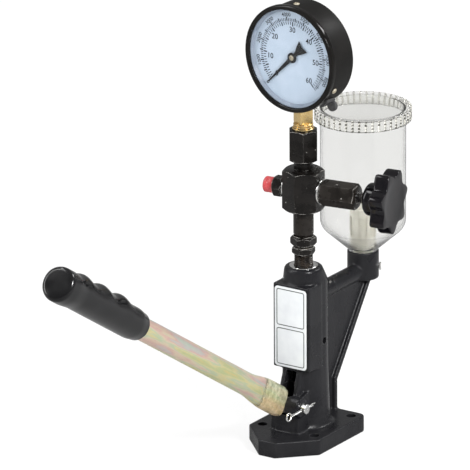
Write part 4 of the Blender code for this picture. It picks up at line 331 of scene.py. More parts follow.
def group_with(name, inputs, outputs):
    """A shader node group with named sockets, and its input and output nodes."""
    tree = bpy.data.node_groups.new(name, "ShaderNodeTree")
    for label, value in inputs.items():
        socket = tree.interface.new_socket(label, in_out="INPUT", socket_type="NodeSocketFloat")
        socket.default_value = value
    for label in outputs:
        tree.interface.new_socket(label, in_out="OUTPUT", socket_type="NodeSocketFloat")
    return tree, tree.nodes.new("NodeGroupInput").outputs, tree.nodes.new("NodeGroupOutput").inputs


def use_group(tree, group, **inputs):
    made = tree.nodes.new("ShaderNodeGroup")
    made.node_tree = group
    for name, value in inputs.items():
        feed(tree, made, name.replace("_", " "), value)
    return made.outputs


def own_place(tree):
    return tree.nodes.new("ShaderNodeTexCoord").outputs["Object"]


def noise(tree, place, scale, detail, **more):
    return node(tree, "ShaderNodeTexNoise", Vector=place, Scale=scale, Detail=detail, **more).outputs["Fac"]


def grain_group():
    """Fine and coarse noise in the object's own space, as a height and a mask of patches."""
    inputs = {"Scale": 900.0, "Patch Scale": 60.0}
    tree, given, out = group_with("surface_grain", inputs, ("Height", "Patches"))
    place = own_place(tree)
    tree.links.new(noise(tree, place, given["Scale"], 4.0), out["Height"])
    coarse = noise(tree, place, given["Patch Scale"], 3.0)
    tree.links.new(ranged(tree, coarse, 0.35, 0.65, 0.0, 1.0), out["Patches"])
    return tree


def wear_group():
    """A mask of the outer edges, broken up by noise, where paint or plating has worn through."""
    inputs = {"Width": 0.0006, "Reach": 0.5, "Break Up Scale": 500.0}
    tree, given, out = group_with("edge_wear", inputs, ("Mask",))
    geometry = tree.nodes.new("ShaderNodeNewGeometry")
    bevel = node(tree, "ShaderNodeBevel", Radius=given["Width"])
    bevel.samples = 6
    turn = tree.nodes.new("ShaderNodeVectorMath")
    turn.operation = "DOT_PRODUCT"
    feed(tree, turn, 0, bevel.outputs["Normal"])
    feed(tree, turn, 1, geometry.outputs["Normal"])
    edge = ranged(tree, turn.outputs["Value"], 0.995, 0.88, 0.0, 1.0)
    broken = ranged(tree, noise(tree, own_place(tree), given["Break Up Scale"], 5.0), 0.38, 0.62, 0.0, 1.0)
    kept = math_node(tree, "MULTIPLY", edge, broken)
    tree.links.new(math_node(tree, "MULTIPLY", kept, given["Reach"], clamp=True), out["Mask"])
    return tree


GRAIN = grain_group()
WEAR = wear_group()


def add_bump(tree, shader, height, distance, strength=1.0):
    bump = node(tree, "ShaderNodeBump", Height=height, Distance=distance, Strength=strength)
    tree.links.new(bump.outputs["Normal"], shader.inputs["Normal"])


def mottled(
    name, color, roughness, scales, tones,
    metallic=0.0, specular=0.5, shine=None, shine_from="Patches", bump=None, wear=None,
):
    """A surface that drifts between two tones in patches.

    The scales are those of the fine grain and of the patches. Shine is the range of the roughness,
    and bump a depth and a strength. Wear is the width, reach, break up and colour of bare edges.
    """
    material, tree, shader = new_material(name, color, roughness, metallic)
    shader.inputs["Specular IOR Level"].default_value = specular
    grain = use_group(tree, GRAIN, Scale=scales[0], Patch_Scale=scales[1])
    surface = mixed_color(tree, grain["Patches"], *tones)
    if wear:
        width, reach, break_up, bare = wear
        worn = use_group(tree, WEAR, Width=width, Reach=reach, Break_Up_Scale=break_up)["Mask"]
        surface = mixed_color(tree, worn, surface, bare)
    feed(tree, shader, "Base Color", surface)
    if shine:
        feed(tree, shader, "Roughness", ranged(tree, grain[shine_from], 0.0, 1.0, *shine))
    if bump:
        add_bump(tree, shader, grain["Height"], *bump)
    return material


# Black paint over rough cast iron: soft sheen, orange peel, dull patches and pale edges.
casting_paint = mottled(
    "cast_paint", (0.010, 0.010, 0.011), 0.30, (700.0, 45.0),
    ((0.0080, 0.0080, 0.0095), (0.0125, 0.0125, 0.0140)), specular=0.18, shine=(0.22, 0.36),
    bump=(0.00025, 0.6), wear=(0.0008, 0.5, 300.0, (0.14, 0.14, 0.14)),
)


def foot_plate():
    """The foot, a rectangle with its front corners cut to a narrow nose and rounded ones behind."""
    centre = (FOOT_HALF_WIDTH - FOOT_BACK_ROUND, FOOT_BACK_Y - FOOT_BACK_ROUND)
    right_side = [
        (FOOT_NOSE_HALF_WIDTH, FOOT_NOSE_Y), (FOOT_HALF_WIDTH, FOOT_SHOULDER_Y),
        *arc(centre, FOOT_BACK_ROUND, 0, math.radians(90), 8),
    ]
    return prism("foot", right_side + [(-x, y) for x, y in reversed(right_side)], 0, FOOT_THICKNESS)


SIDEWAYS = Matrix.Rotation(math.radians(90), 4, "Z") @ Matrix.Rotation(math.radians(90), 4, "X")
ALONG_X = Matrix.Rotation(math.radians(90), 4, "Y")
BACKWARDS = Matrix.Rotation(math.radians(-90), 4, "X")
PIN_AXIS = Matrix.Translation(PIVOT) @ ALONG_X
CUP = Matrix.Translation((0, CUP_AXIS_Y, 0))


def drawn_back(column):
    """Moves the back half of the column back, fully up to its neck and not at all at its crown."""
    for vertex in column.data.vertices:
        if vertex.co.y > CLEAR:
            fading = (COLUMN_CROWN_Z - vertex.co.z) / (COLUMN_CROWN_Z - COLUMN_NECK_Z)
            vertex.co.y += COLUMN_DRAW_BACK * min(max(fading, 0), 1)
    return column


def sideways(name, side_view, half_width):
    """A side view of (y, z) points, as thick to the left as to the right."""
    return placed(prism(name, side_view, -half_width, half_width), SIDEWAYS)


def casting():
    foot_middle = FOOT_THICKNESS / 2
    column_foot = [(0, foot_middle), (COLUMN_PROFILE[0][0], foot_middle)]
    column_profile = [*column_foot, *COLUMN_PROFILE, (0, COLUMN_TOP_Z)]
    to_arm = Matrix.Translation((0, 0, OIL_ARM_Z)) @ BACKWARDS
    shapes = [
        drawn_back(revolved("column", column_profile[::-1])),
        block("plate_box", (-BOX_HALF_WIDTH, BOX_HALF_WIDTH), (BOX_FRONT_Y, 0), (BOX_LOW_Z, BOX_HIGH_Z)),
        sideways("cheeks", CHEEK_SIDE_VIEW, CHEEK_HALF_WIDTH),
        sideways("ear_rib", EAR_RIB_SIDE_VIEW, EAR_RIB_HALF_WIDTH),
        placed(cylinder("ears", EAR_RADIUS, -EAR_HALF_WIDTH, EAR_HALF_WIDTH), PIN_AXIS),
        placed(cylinder("oil_arm", OIL_ARM_RADIUS, 0, CUP_AXIS_Y), to_arm),
        placed(cylinder("cup_boss", BOSS_RADIUS, BOSS_LOW_Z, BOSS_HIGH_Z), CUP),
        sideways("web", WEB_SIDE_VIEW, WEB_HALF_THICKNESS),
        sideways("web_flange", FLANGE_SIDE_VIEW, FLANGE_HALF_WIDTH),
    ]
    cast = joined(foot_plate(), *shapes)
    cast.name = "casting"
    skin = cast.modifiers.new("skin", "REMESH")
    skin.mode = "VOXEL"
    skin.voxel_size = CAST_VOXEL
    soft = cast.modifiers.new("soft", "SMOOTH")
    soft.factor = CAST_SOFTNESS
    soft.iterations = CAST_SMOOTHING
    with_modifiers_applied(cast)
    reach = COLUMN_TOP_Z
    pump_bore = [
        (0, reach * 2), (RING_SEAT_RADIUS, reach * 2), (RING_SEAT_RADIUS, RING_SEAT_Z),
        (BARREL_BORE, RING_SEAT_Z), (BARREL_BORE, BARREL_SHOULDER_Z), (TAPPET_BORE, BARREL_SHOULDER_Z),
        (TAPPET_BORE, CHAMBER_FLOOR_Z), (0, CHAMBER_FLOOR_Z),
    ]
    to_leak = Matrix.Translation((0, COLUMN_DRAW_BACK, LEAK_HOLE_Z)) @ ALONG_X
    tools = [
        revolved("pump_bore", pump_bore, 64),
        sideways("lever_slot", SLOT_SIDE_VIEW, SLOT_HALF_WIDTH),
        sideways("upper_slot", UPPER_SLOT_SIDE_VIEW, UPPER_SLOT_HALF_WIDTH),
        placed(cylinder("pin_hole", PIN_HOLE_RADIUS, -reach, reach), PIN_AXIS),
        placed(cylinder("cup_bore", BOSS_BORE, BOSS_FLOOR_Z, reach * 2), CUP),
        placed(cylinder("leak_hole", LEAK_HOLE_RADIUS, TAPPET_BORE / 2, reach, 32), to_leak),
    ]
    for x, y in BOLT_HOLES:
        hole = cylinder("bolt_hole", BOLT_HOLE_RADIUS, -reach, FOOT_THICKNESS * 2, 48)
        tools.append(placed(hole, Matrix.Translation((x, y, 0))))
    return boolean(cast, "DIFFERENCE", *tools)


finished(casting(), "frame", casting_paint, "pump_housing", sharp=math.radians(50))


# The screw plug in the side of the cup boss: bright steel, with a turned head and a socket in it.
PLUG_TURN = math.radians(32)
PLUG_Z = 0.126
PLUG_SOCKET_RADIUS = 0.0015
PLUG_SOCKET_DEPTH = 0.0010
PLUG_HEAD_THICKNESS = 0.0016
PLUG_SHANK_RADIUS = 0.0019


def moved_box(cad_node, matrix):
    """Lowest and highest corner of a CAD node, seen from a frame of its own."""
    back = matrix.inverted()
    points = [back @ v.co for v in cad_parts[cad_node].data.vertices]
    low = Vector([min(p[i] for p in points) for i in range(3)])
    high = Vector([max(p[i] for p in points) for i in range(3)])
    return low, high


# Zinc plated steel: bright, a little cloudy, with fine turning marks.
zinc_plating = mottled(
    "bright_zinc", (0.80, 0.80, 0.79), 0.22, (1500.0, 300.0), ((0.86, 0.86, 0.85), (0.70, 0.70, 0.68)),
    metallic=1.0, shine=(0.16, 0.30), bump=(0.00005, 0.4),
)
to_plug = Matrix.Translation((0, CUP_AXIS_Y, PLUG_Z)) @ Matrix.Rotation(PLUG_TURN, 4, "Z") @ ALONG_X
plug_low, plug_high = moved_box("boss_plug", to_plug)
plug_head = plug_high.x
socket_floor = plug_high.z - PLUG_SOCKET_DEPTH
head_low = plug_high.z - PLUG_HEAD_THICKNESS
plug_profile = [
    (0, socket_floor), (PLUG_SOCKET_RADIUS, socket_floor), (PLUG_SOCKET_RADIUS, plug_high.z),
    (plug_head, plug_high.z), (plug_head, head_low), (PLUG_SHANK_RADIUS, head_low),
    (PLUG_SHANK_RADIUS, plug_low.z), (0, plug_low.z),
]
boss_screw = placed(revolved("boss_screw", eased(plug_profile, 0.0003), 48), to_plug)
finished(boss_screw, "frame", zinc_plating, "boss_plug")


# The plate on the box: thin bare aluminium foil with rounded corners, glued on, with two empty
# printed frames, one above the other, and nothing else on it.
plate_low, plate_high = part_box("label_plate")
PLATE_CORNER = 0.003
BORDER_INSET = 0.0019
BORDER_WIDTH = 0.0008
BORDER_CORNER = 0.0022
BORDER_PROUD = 0.00004
PANEL_GAP = 0.0022


def rounded_rectangle(half_width, half_height, radius, steps=8):
    points = []
    for quarter, (x, y) in enumerate(((1, 1), (-1, 1), (-1, -1), (1, -1))):
        centre = (x * (half_width - radius), y * (half_height - radius))
        points += arc(centre, radius, math.radians(90 * quarter), math.radians(90), steps)
    return points


# Silver foil under clear lacquer, brushed a little, with faint clouding.
silver_foil = mottled(
    "plate_foil", (0.59, 0.61, 0.63), 0.40, (1200.0, 70.0), ((0.56, 0.58, 0.60), (0.62, 0.64, 0.65)),
    metallic=0.1, shine=(0.34, 0.48), shine_from="Height", bump=(0.00003, 0.4),
)
# Grey green ink of the frames.
frame_ink = mottled(
    "printed_line", (0.045, 0.055, 0.052), 0.5, (2500.0, 900.0),
    ((0.035, 0.045, 0.042), (0.080, 0.090, 0.085)),
)
plate_middle = (plate_low + plate_high) / 2
plate_half = (plate_high - plate_low) / 2
foil_outline = rounded_rectangle(plate_half.x, plate_half.z, PLATE_CORNER)
on_box = Matrix.Translation((0, plate_high.y, plate_middle.z)) @ Matrix.Rotation(math.radians(90), 4, "X")
foil = placed(prism("plate_foil", foil_outline, 0, plate_half.y * 2), on_box)
finished(bevelled(foil, 0.00012), "frame", silver_foil, "label_plate")


def border_lines():
    """The printed frames, each a flat ring between two rounded rectangles."""
    half_width = plate_half.x - BORDER_INSET
    half_height = (plate_half.z - BORDER_INSET) / 2 - PANEL_GAP / 4
    sizes = (half_width, half_height, BORDER_CORNER)
    wide = rounded_rectangle(*sizes)
    narrow = rounded_rectangle(*[size - BORDER_WIDTH for size in sizes])
    work = bmesh.new()
    height = plate_half.y * 2 + BORDER_PROUD
    for middle in (half_height + PANEL_GAP / 2, -half_height - PANEL_GAP / 2):
        rings = [[work.verts.new((x, y + middle, height)) for x, y in outline] for outline in (wide, narrow)]
        bridge(work, *rings)
    return placed(built("plate_borders", work, closed=False), on_box)


finished(border_lines(), "frame", frame_ink)


# The pump inside the column: lapped barrel and plunger, hardened tappet and spring seat, and two
# coil springs. In the pump the large one lifts the lever again and shortens as the plunger goes up,
# and the small one shortens as the ball of the delivery valve lifts; here both are drawn at one length.
SPRING_POINTS = 24
PUMP_SPRING = {"stroke": 0.0178, "wire_radius": 0.001, "radius": 0.0073, "end_rise": 0.0026, "coils": 7}
VALVE_SPRING = {"stroke": 0.001, "wire_radius": 0.0004, "radius": 0.0024, "end_rise": 0.0016, "coils": 4}

# Ground and oiled tool steel.
steel_ground = mottled(
    "ground_steel", (0.50, 0.50, 0.50), 0.28, (1800.0, 120.0), ((0.56, 0.56, 0.56), (0.42, 0.41, 0.40)),
    metallic=1.0, shine=(0.20, 0.36),
)
# Hardened steel, grey brown and oily, lighter where it rubs.
steel_dark = mottled(
    "dark_steel", (0.12, 0.115, 0.11), 0.4, (1100.0, 90.0), ((0.10, 0.095, 0.09), (0.17, 0.16, 0.15)),
    metallic=0.9, shine=(0.32, 0.50), bump=(0.0001, 0.5), wear=(0.0006, 0.6, 400.0, (0.42, 0.41, 0.40)),
)


def coat(material, *names):
    """Gives a material to CAD pieces that are shown as they are."""
    for name in names:
        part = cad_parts[name]
        part.data.materials.clear()
        part.data.materials.append(material)


coat(steel_ground, "pump_barrel", "plunger", "valve_seat", "valve_ball")
coat(steel_dark, "tappet", "spring_seat")


def meshed(name, curve):
    """A curve or a text as a mesh object."""
    source = scene_object(name, curve)
    mesh = evaluated_mesh(source)
    bpy.data.objects.remove(source)
    return scene_object(name, mesh)


def wire(name, points, radius):
    """A round wire along points, with closed ends."""
    curve = bpy.data.curves.new(name, "CURVE")
    curve.dimensions = "3D"
    curve.bevel_depth = radius
    curve.bevel_resolution = 4
    curve.use_fill_caps = True
    spline = curve.splines.new("POLY")
    spline.points.add(len(points) - 1)
    for point, place in zip(spline.points, points):
        point.co = (*place, 1)
    return meshed(name, curve)


def spring(name, cad_name, follows, stroke, wire_radius, radius, end_rise, coils):
    """Round wire, closely wound at both ends. Its upper end stays. Stroke is not used."""
    low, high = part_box(cad_name)
    bottom = low.z + wire_radius
    rise = (high.z - wire_radius - bottom - 2 * end_rise) / (coils - 2)
    points = []
    for i in range(coils * SPRING_POINTS + 1):
        turn = i / SPRING_POINTS
        height = bottom + min(turn, 1) * end_rise + min(max(turn - 1, 0), coils - 2) * rise
        height += max(turn - coils + 1, 0) * end_rise
        points.append(polar(radius, turn * math.tau, height))
    coil = finished(wire(name, points, wire_radius), "frame", steel_ground, cad_name)
    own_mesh(coil)


spring("lever_spring", "return_spring", "plunger_slide", **PUMP_SPRING)
spring("delivery_spring", "valve_spring", "ball_lift", **VALVE_SPRING)


# The stack above the column: a bright ring in the mouth of the bore and, all of blackened steel,
# the threaded holder of the delivery valve, a lock nut, a union nut and the riser.
THREAD_PITCH = 0.0018
THREAD_DEPTH = 0.0010
THREAD_ROWS = 8
THREAD_POINTS = 72
SHANK_RADIUS = 0.0080
EXIT_BORE = 0.0038
EXIT_BORE_TOP_Z = 0.161
HOLDER_FLANGE_THICKNESS = 0.0034
LOCK_NUT = (0.0174, math.radians(12))
UNION_NUT = (0.0196, math.radians(4))
RISER_NECK = 0.0062
RISER_FOOT = 0.0068
RISER_SLOPE = 0.0021
FUEL_BORE = 0.0015
OXIDE_TONE = (0.0090, 0.0078, 0.0070)
THICK_OXIDE_SHARE = 0.45
BARE_STEEL_AND_HIGHLIGHT = (0.55, 0.53, 0.50)


def black_oxide(name, thin_color, bare_and_highlight_color, wear_and_highlight_reach):
    """Blackened and oiled steel: brown black, blotchy, bare at the edges with a painted edge highlight, and
    with tiny bright nicks.
    """
    material, tree, shader = new_material(name, (0.008, 0.007, 0.0065), 0.28)
    shader.inputs["Specular IOR Level"].default_value = 0.16
    grain = use_group(tree, GRAIN, Scale=800.0, Patch_Scale=110.0)
    # Edge mask: partly real wear, partly a painted highlight along the edges.
    worn = use_group(tree, WEAR, Width=0.0007, Reach=wear_and_highlight_reach, Break_Up_Scale=220.0)["Mask"]
    nicks = ranged(tree, noise(tree, own_place(tree), 380.0, 2.0), 0.735, 0.76, 0.0, 0.8)
    bare = math_node(tree, "MAXIMUM", worn, nicks, clamp=True)
    thick_color = [THICK_OXIDE_SHARE * part for part in thin_color]
    oxide = mixed_color(tree, grain["Patches"], thick_color, thin_color)
    feed(tree, shader, "Base Color", mixed_color(tree, bare, oxide, bare_and_highlight_color))
    feed(tree, shader, "Roughness", ranged(tree, grain["Patches"], 0.0, 1.0, 0.20, 0.36))
    add_bump(tree, shader, grain["Height"], 0.00012, 0.5)
    return material


oxide_black = black_oxide("oxide_black", OXIDE_TONE, BARE_STEEL_AND_HIGHLIGHT, 1.0)
oxide_brown = black_oxide("oxide_brown", (0.017, 0.0145, 0.0125), BARE_STEEL_AND_HIGHLIGHT, 1.0)
oiled_thread = black_oxide("oiled_thread", OXIDE_TONE, (0.10, 0.075, 0.055), 0.8)


def skinned(name, rings, closed=False):
    """A skin over rings of points: capped, or closed where the last ring meets the first again."""
    work = bmesh.new()
    rows = [[work.verts.new(point) for point in ring] for ring in rings]
    if closed:
        rows.append(rows[0])
    for one, other in zip(rows, rows[1:]):
        bridge(work, one, other)
    if not closed:
        work.faces.new(rows[0])
        work.faces.new(rows[-1])
    return built(name, work)


def threaded(name, radius, low, high, depth=THREAD_DEPTH):
    """A rod with a real helical thread that runs out at both ends."""
    rows = max(THREAD_ROWS, round((high - low) / THREAD_PITCH * THREAD_ROWS))
    rings = []
    for row in range(rows + 1):
        height = low + (high - low) * row / rows
        fade = min(1, (height - low) / THREAD_PITCH, (high - height) / THREAD_PITCH)
        ring = []
        for i in range(THREAD_POINTS):
            share = i / THREAD_POINTS
            groove = 1 - abs(2 * ((height / THREAD_PITCH - share) % 1) - 1)
            ring.append(polar(radius - depth * (groove * fade + (1 - fade)), math.tau * share, height))
        rings.append(ring)
    return skinned(name, rings)


def hexagon_bar(name, flats, low, high, turn=0.0, chamfer=0.0016, slope=0.5, edge=0.00025):
    """Hexagon bar with both ends turned to a chamfer and its long edges a little rounded."""
    corner = flats / math.sqrt(3)
    outline = [polar(corner, turn + math.radians(60 * i + 30)) for i in range(6)]
    bar = bevelled(prism(name, outline, low, high), edge, 3, math.radians(50))
    land = corner - chamfer / slope
    wide = corner + chamfer
    over = chamfer * (wide - land) / (corner - land)
    profile = [(0, high), (land, high), (wide, high - over), (wide, low + over), (land, low), (0, low)]
    return boolean(bar, "INTERSECT", revolved("turning", profile, 120))


ring_low, ring_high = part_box("collar_ring")
shank_hole = SHANK_RADIUS + CLEAR
collar_washer = cylinder("collar_washer", ring_high.x, ring_low.z, ring_high.z, 96, 0.0004, shank_hole)
finished(collar_washer, "frame", zinc_plating, "collar_ring")

holder_low, holder_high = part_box("valve_holder")
flange_top = holder_low.z + HOLDER_FLANGE_THICKNESS
holder = threaded("holder_thread", SHANK_RADIUS, (holder_low.z + flange_top) / 2, holder_high.z)
boolean(holder, "UNION", cylinder("holder_flange", holder_high.x, holder_low.z, flange_top, 96, 0.0003))
boolean(holder, "DIFFERENCE", cylinder("holder_bore", EXIT_BORE, holder_low.z - 0.01, EXIT_BORE_TOP_Z, 32))
finished(holder, "frame", oiled_thread, "valve_holder")

for cad_name, (flats, turn) in (("lock_nut", LOCK_NUT), ("union_nut", UNION_NUT)):
    nut_low, nut_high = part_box(cad_name)
    nut = hexagon_bar("fine_" + cad_name, flats, nut_low.z, nut_high.z, turn, chamfer=0.0022, slope=0.75)
    hole = cylinder("nut_bore", shank_hole, nut_low.z - 0.01, nut_high.z + 0.01)
    finished(boolean(nut, "DIFFERENCE", hole), "frame", oxide_black, cad_name)

riser_low, riser_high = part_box("riser")
riser_wide = riser_high.x
block_low, block_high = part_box("cross_block")
union_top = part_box("union_nut")[1].z
riser_profile = [
    (RISER_NECK, riser_high.z), (RISER_NECK, block_low.z - CLEAR), (riser_wide, block_low.z - CLEAR),
    (riser_wide, union_top + RISER_SLOPE), (RISER_FOOT, union_top + CLEAR), (RISER_FOOT, riser_low.z),
    (FUEL_BORE, riser_low.z), (FUEL_BORE, riser_high.z),
]
finished(revolved("riser_tube", eased(riser_profile, 0.0003)), "frame", oxide_brown, "riser")


# The cross block: a length of black hexagon bar, chamfered at both ends, ported below, above and
# on two opposite flats. The edges are nicked and show bare steel, their pale lines partly a painted
# highlight.
BLOCK_TURN = math.radians(8.4)
BLOCK_FLATS = 0.0315
PORT_Z = 0.2212
PORT_RADIUS = 0.0065
OUTLET_PORT_RADIUS = 0.0053
PORT_DEPTH = 0.007
VALVE_ARM = Matrix.Translation((0, 0, PORT_Z)) @ Matrix.Rotation(BLOCK_TURN, 4, "Z") @ ALONG_X
OUTLET_ARM = Matrix.Translation((0, 0, PORT_Z)) @ Matrix.Rotation(BLOCK_TURN + math.pi, 4, "Z") @ ALONG_X

cross = hexagon_bar(
    "hexagon_block", BLOCK_FLATS, block_low.z, block_high.z, BLOCK_TURN,
    chamfer=0.0020, slope=0.62, edge=0.0005,
)
port_floor = BLOCK_FLATS / 2 - PORT_DEPTH
ports = [
    cylinder("port_below", PORT_RADIUS, block_low.z - 0.01, block_low.z + PORT_DEPTH),
    cylinder("port_above", PORT_RADIUS, block_high.z - PORT_DEPTH, block_high.z + 0.01),
    placed(cylinder("port_right", PORT_RADIUS, port_floor, BLOCK_FLATS), VALVE_ARM),
    placed(cylinder("port_left", OUTLET_PORT_RADIUS, port_floor, BLOCK_FLATS), OUTLET_ARM),
]
finished(boolean(cross, "DIFFERENCE", *ports), "frame", oxide_black, "cross_block")


# The gauge's seat: a black hexagon adapter with a round neck, a bright sealing washer, and the
# brass socket of the gauge, which goes up into the case.
ADAPTER_FLATS = 0.0232
ADAPTER_TURN = math.radians(33.5)
NECK_HEIGHT = 0.0076
NECK_WIDE = 0.0080
NECK_OVERLAP = 0.002
SOCKET_HOLE_RADIUS = 0.0066
SOCKET_HOLE_DEPTH = 0.012

# Turned brass: warm, fairly bright, slightly tarnished in patches.
brass = mottled(
    "turned_brass", (0.82, 0.60, 0.27), 0.24, (1300.0, 140.0), ((0.86, 0.66, 0.33), (0.74, 0.52, 0.22)),
    metallic=1.0, shine=(0.18, 0.32), bump=(0.00005, 0.4),
)
adapter_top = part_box("gauge_adapter")[1].z
neck_low = block_high.z + CLEAR
hexagon_low = neck_low + NECK_HEIGHT
adapter = hexagon_bar(
    "adapter", ADAPTER_FLATS, hexagon_low, adapter_top, ADAPTER_TURN, chamfer=0.0012, slope=0.6, edge=0.0004,
)
neck = cylinder("adapter_neck", NECK_WIDE, neck_low, hexagon_low + NECK_OVERLAP, 96, 0.0003)
boolean(adapter, "UNION", neck)
socket_hole = cylinder("socket_hole", SOCKET_HOLE_RADIUS, adapter_top - SOCKET_HOLE_DEPTH, adapter_top + 0.01)
finished(boolean(adapter, "DIFFERENCE", socket_hole), "frame", oxide_black, "gauge_adapter")

washer_low, washer_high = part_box("gauge_washer")
seal_washer = cylinder(
    "seal_washer", washer_high.x, washer_low.z, washer_high.z, 96, 0.0005, SOCKET_HOLE_RADIUS,
)
finished(seal_washer, "frame", brass, "gauge_washer")

SOCKET_SQUARE = 0.0122
SOCKET_TURN = math.radians(-28)
SOCKET_RING = 0.0011
SOCKET_GROOVE = 0.0008
SOCKET_GROOVE_DEPTH = 0.0012
SOCKET_THREAD_RADIUS = 0.0063
socket_low, socket_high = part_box("gauge_socket")
stem_wide = socket_high.x
stem_low = washer_high.z + CLEAR
groove_wide = stem_wide - SOCKET_GROOVE_DEPTH
stem_profile = [(0, socket_low.z), (SOCKET_THREAD_RADIUS, socket_low.z), (SOCKET_THREAD_RADIUS, stem_low)]
height = stem_low
for radius, rise in ((stem_wide, SOCKET_RING), (groove_wide, SOCKET_GROOVE)) * 2:
    stem_profile += [(radius, height), (radius, height + rise)]
    height += rise
stem_profile.append((0, height))
half = SOCKET_SQUARE / 2
square_bar = block("square_bar", (-half, half), (-half, half), (height - SOCKET_GROOVE / 2, socket_high.z))
square_bar = placed(bevelled(square_bar, 0.0006, 3), Matrix.Rotation(SOCKET_TURN, 4, "Z"))
brass_socket = revolved("brass_socket", eased(stem_profile[::-1], 0.0002))
boolean(brass_socket, "UNION", square_bar)
socket_bore = cylinder("socket_bore", FUEL_BORE, socket_low.z - 0.01, socket_high.z + 0.01, 32)
finished(boolean(brass_socket, "DIFFERENCE", socket_bore), "frame", brass, "gauge_socket")


# The pressure gauge: a pressed case and a turned bezel in black enamel, held together by three
# nickel screws, with a rubber relief plug low on the right side of the case.
GAUGE_CENTRE_Z = 0.3407
GAUGE_TURN = math.radians(-5.1)
GAUGE = (
    Matrix.Translation((0, 0, GAUGE_CENTRE_Z)) @ Matrix.Rotation(GAUGE_TURN, 4, "Z")
    @ Matrix.Rotation(math.radians(90), 4, "X")
)
GAUGE_FACETS = 160
CASE_RADIUS = 0.045
CASE_WALL = 0.0008
CASE_BACK = -0.0115
CASE_FRONT = 0.0148
CASE_ROUND = 0.003
BEZEL_RADIUS = 0.0465
BEZEL_OPENING = 0.0423
BEZEL_BORE = 0.0429
BEZEL_SKIRT_END = 0.0095
BEZEL_FRONT = 0.0198
BEZEL_LIP = 0.0010
BEZEL_CHAMFER = 0.0008
SCREW_AXIAL = 0.0085
SCREW_RADIUS = 0.0012
SCREW_HEAD_RADIUS = 0.0026
SCREW_HEAD_HEIGHT = 0.0016
SCREW_HOLE_RADIUS = 0.0015
SLOT_FLOOR = 0.0009
SLOT = (-0.0005, 0.0005)
SLOT_ACROSS = (-0.004, 0.004)
VENT_TURN = math.radians(-52)
VENT_HEAD_RADIUS = 0.0047
VENT_HEAD_HALF = 0.0015
VENT_NECK_HALF = 0.0018
VENT_PAD_HALF = 0.005
VENT_PAD_BACK = -0.009
VENT_REACH = 0.050


def black_enamel(name, low_roughness, high_roughness):
    """Smooth black enamel with faint orange peel and dust."""
    return mottled(
        name, (0.006, 0.006, 0.006), low_roughness, (420.0, 40.0),
        ((0.0045, 0.0043, 0.0040), (0.0075, 0.0070, 0.0065)), specular=0.14,
        shine=(low_roughness, high_roughness), bump=(0.00012, 0.35),
        wear=(0.0005, 0.25, 300.0, (0.08, 0.08, 0.08)),
    )


case_enamel = black_enamel("case_enamel", 0.44, 0.56)
bezel_enamel = black_enamel("bezel_enamel", 0.08, 0.14)
# Nickel plating, yellowed and dull, with dirt in its slots.
nickel = mottled(
    "dull_nickel", (0.42, 0.38, 0.28), 0.42, (1600.0, 500.0), ((0.30, 0.26, 0.18), (0.56, 0.52, 0.42)),
    metallic=0.6,
)


def outwards(turn, axial=0.0):
    """From the gauge's axis out through the rim at an angle."""
    return GAUGE @ Matrix.Translation((0, 0, axial)) @ Matrix.Rotation(turn, 4, "Z") @ ALONG_X


inner = CASE_RADIUS - CASE_WALL
case_floor = CASE_BACK + 2 * CASE_WALL
case_profile = [
    (0, case_floor), (inner - CASE_ROUND, case_floor), (inner, case_floor + CASE_ROUND), (inner, CASE_FRONT),
    (CASE_RADIUS, CASE_FRONT), (CASE_RADIUS, CASE_BACK), (0, CASE_BACK),
]
case = placed(revolved("case_shell", eased(case_profile, CASE_ROUND * 0.8, 6), GAUGE_FACETS), GAUGE)
notch_low = GAUGE_CENTRE_Z - CASE_RADIUS * 1.2
stem_notch = cylinder("stem_notch", stem_wide + CLEAR, notch_low, GAUGE_CENTRE_Z - CASE_RADIUS / 2)
screw_places = [outwards(math.radians(90 + 120 * i), SCREW_AXIAL) for i in range(3)]
screw_holes = [
    placed(cylinder("screw_hole", SCREW_HOLE_RADIUS, 0.04, 0.05, 24), place) for place in screw_places
]
finished(boolean(case, "DIFFERENCE", stem_notch, *screw_holes), "frame", case_enamel, "gauge_case")

lip_back = BEZEL_FRONT - BEZEL_LIP
skirt_front = CASE_FRONT + CLEAR
bezel_profile = [
    (BEZEL_OPENING, BEZEL_FRONT - BEZEL_CHAMFER), (BEZEL_OPENING + BEZEL_CHAMFER, BEZEL_FRONT),
    (BEZEL_RADIUS - 0.0012, BEZEL_FRONT), (BEZEL_RADIUS - 0.0003, BEZEL_FRONT - 0.0005),
    (BEZEL_RADIUS, BEZEL_FRONT - 0.0016), (BEZEL_RADIUS, skirt_front), (inner - CLEAR, skirt_front),
    (inner - CLEAR, BEZEL_SKIRT_END), (BEZEL_BORE, BEZEL_SKIRT_END), (BEZEL_BORE, lip_back),
    (BEZEL_OPENING, lip_back),
]
bezel = placed(revolved("bezel_ring", eased(bezel_profile, 0.0003), GAUGE_FACETS), GAUGE)
finished(bezel, "frame", bezel_enamel, "gauge_bezel")

screw_seat = CASE_RADIUS + CLEAR
screw_profile = [
    (0, screw_seat + SCREW_HEAD_HEIGHT), (SCREW_HEAD_RADIUS / 2, screw_seat + SCREW_HEAD_HEIGHT - 0.0001),
    (SCREW_HEAD_RADIUS, screw_seat + 0.0006), (SCREW_HEAD_RADIUS, screw_seat), (SCREW_RADIUS, screw_seat),
    (SCREW_RADIUS, BEZEL_BORE), (0, BEZEL_BORE),
]
for number, place in enumerate(screw_places, start=1):
    screw = placed(revolved("case_screw", eased(screw_profile, 0.0002), 40), place)
    slot_turn = Matrix.Rotation(math.radians(50 * number - 15), 4, "Z")
    slot_tool = block("slot", SLOT, SLOT_ACROSS, (screw_seat + SLOT_FLOOR, screw_seat + SLOT_ACROSS[1]))
    boolean(screw, "DIFFERENCE", placed(slot_tool, place @ slot_turn))
    screw.name = f"case_screw_{number}"
    finished(screw, "frame", nickel, f"rim_screw_{number}")

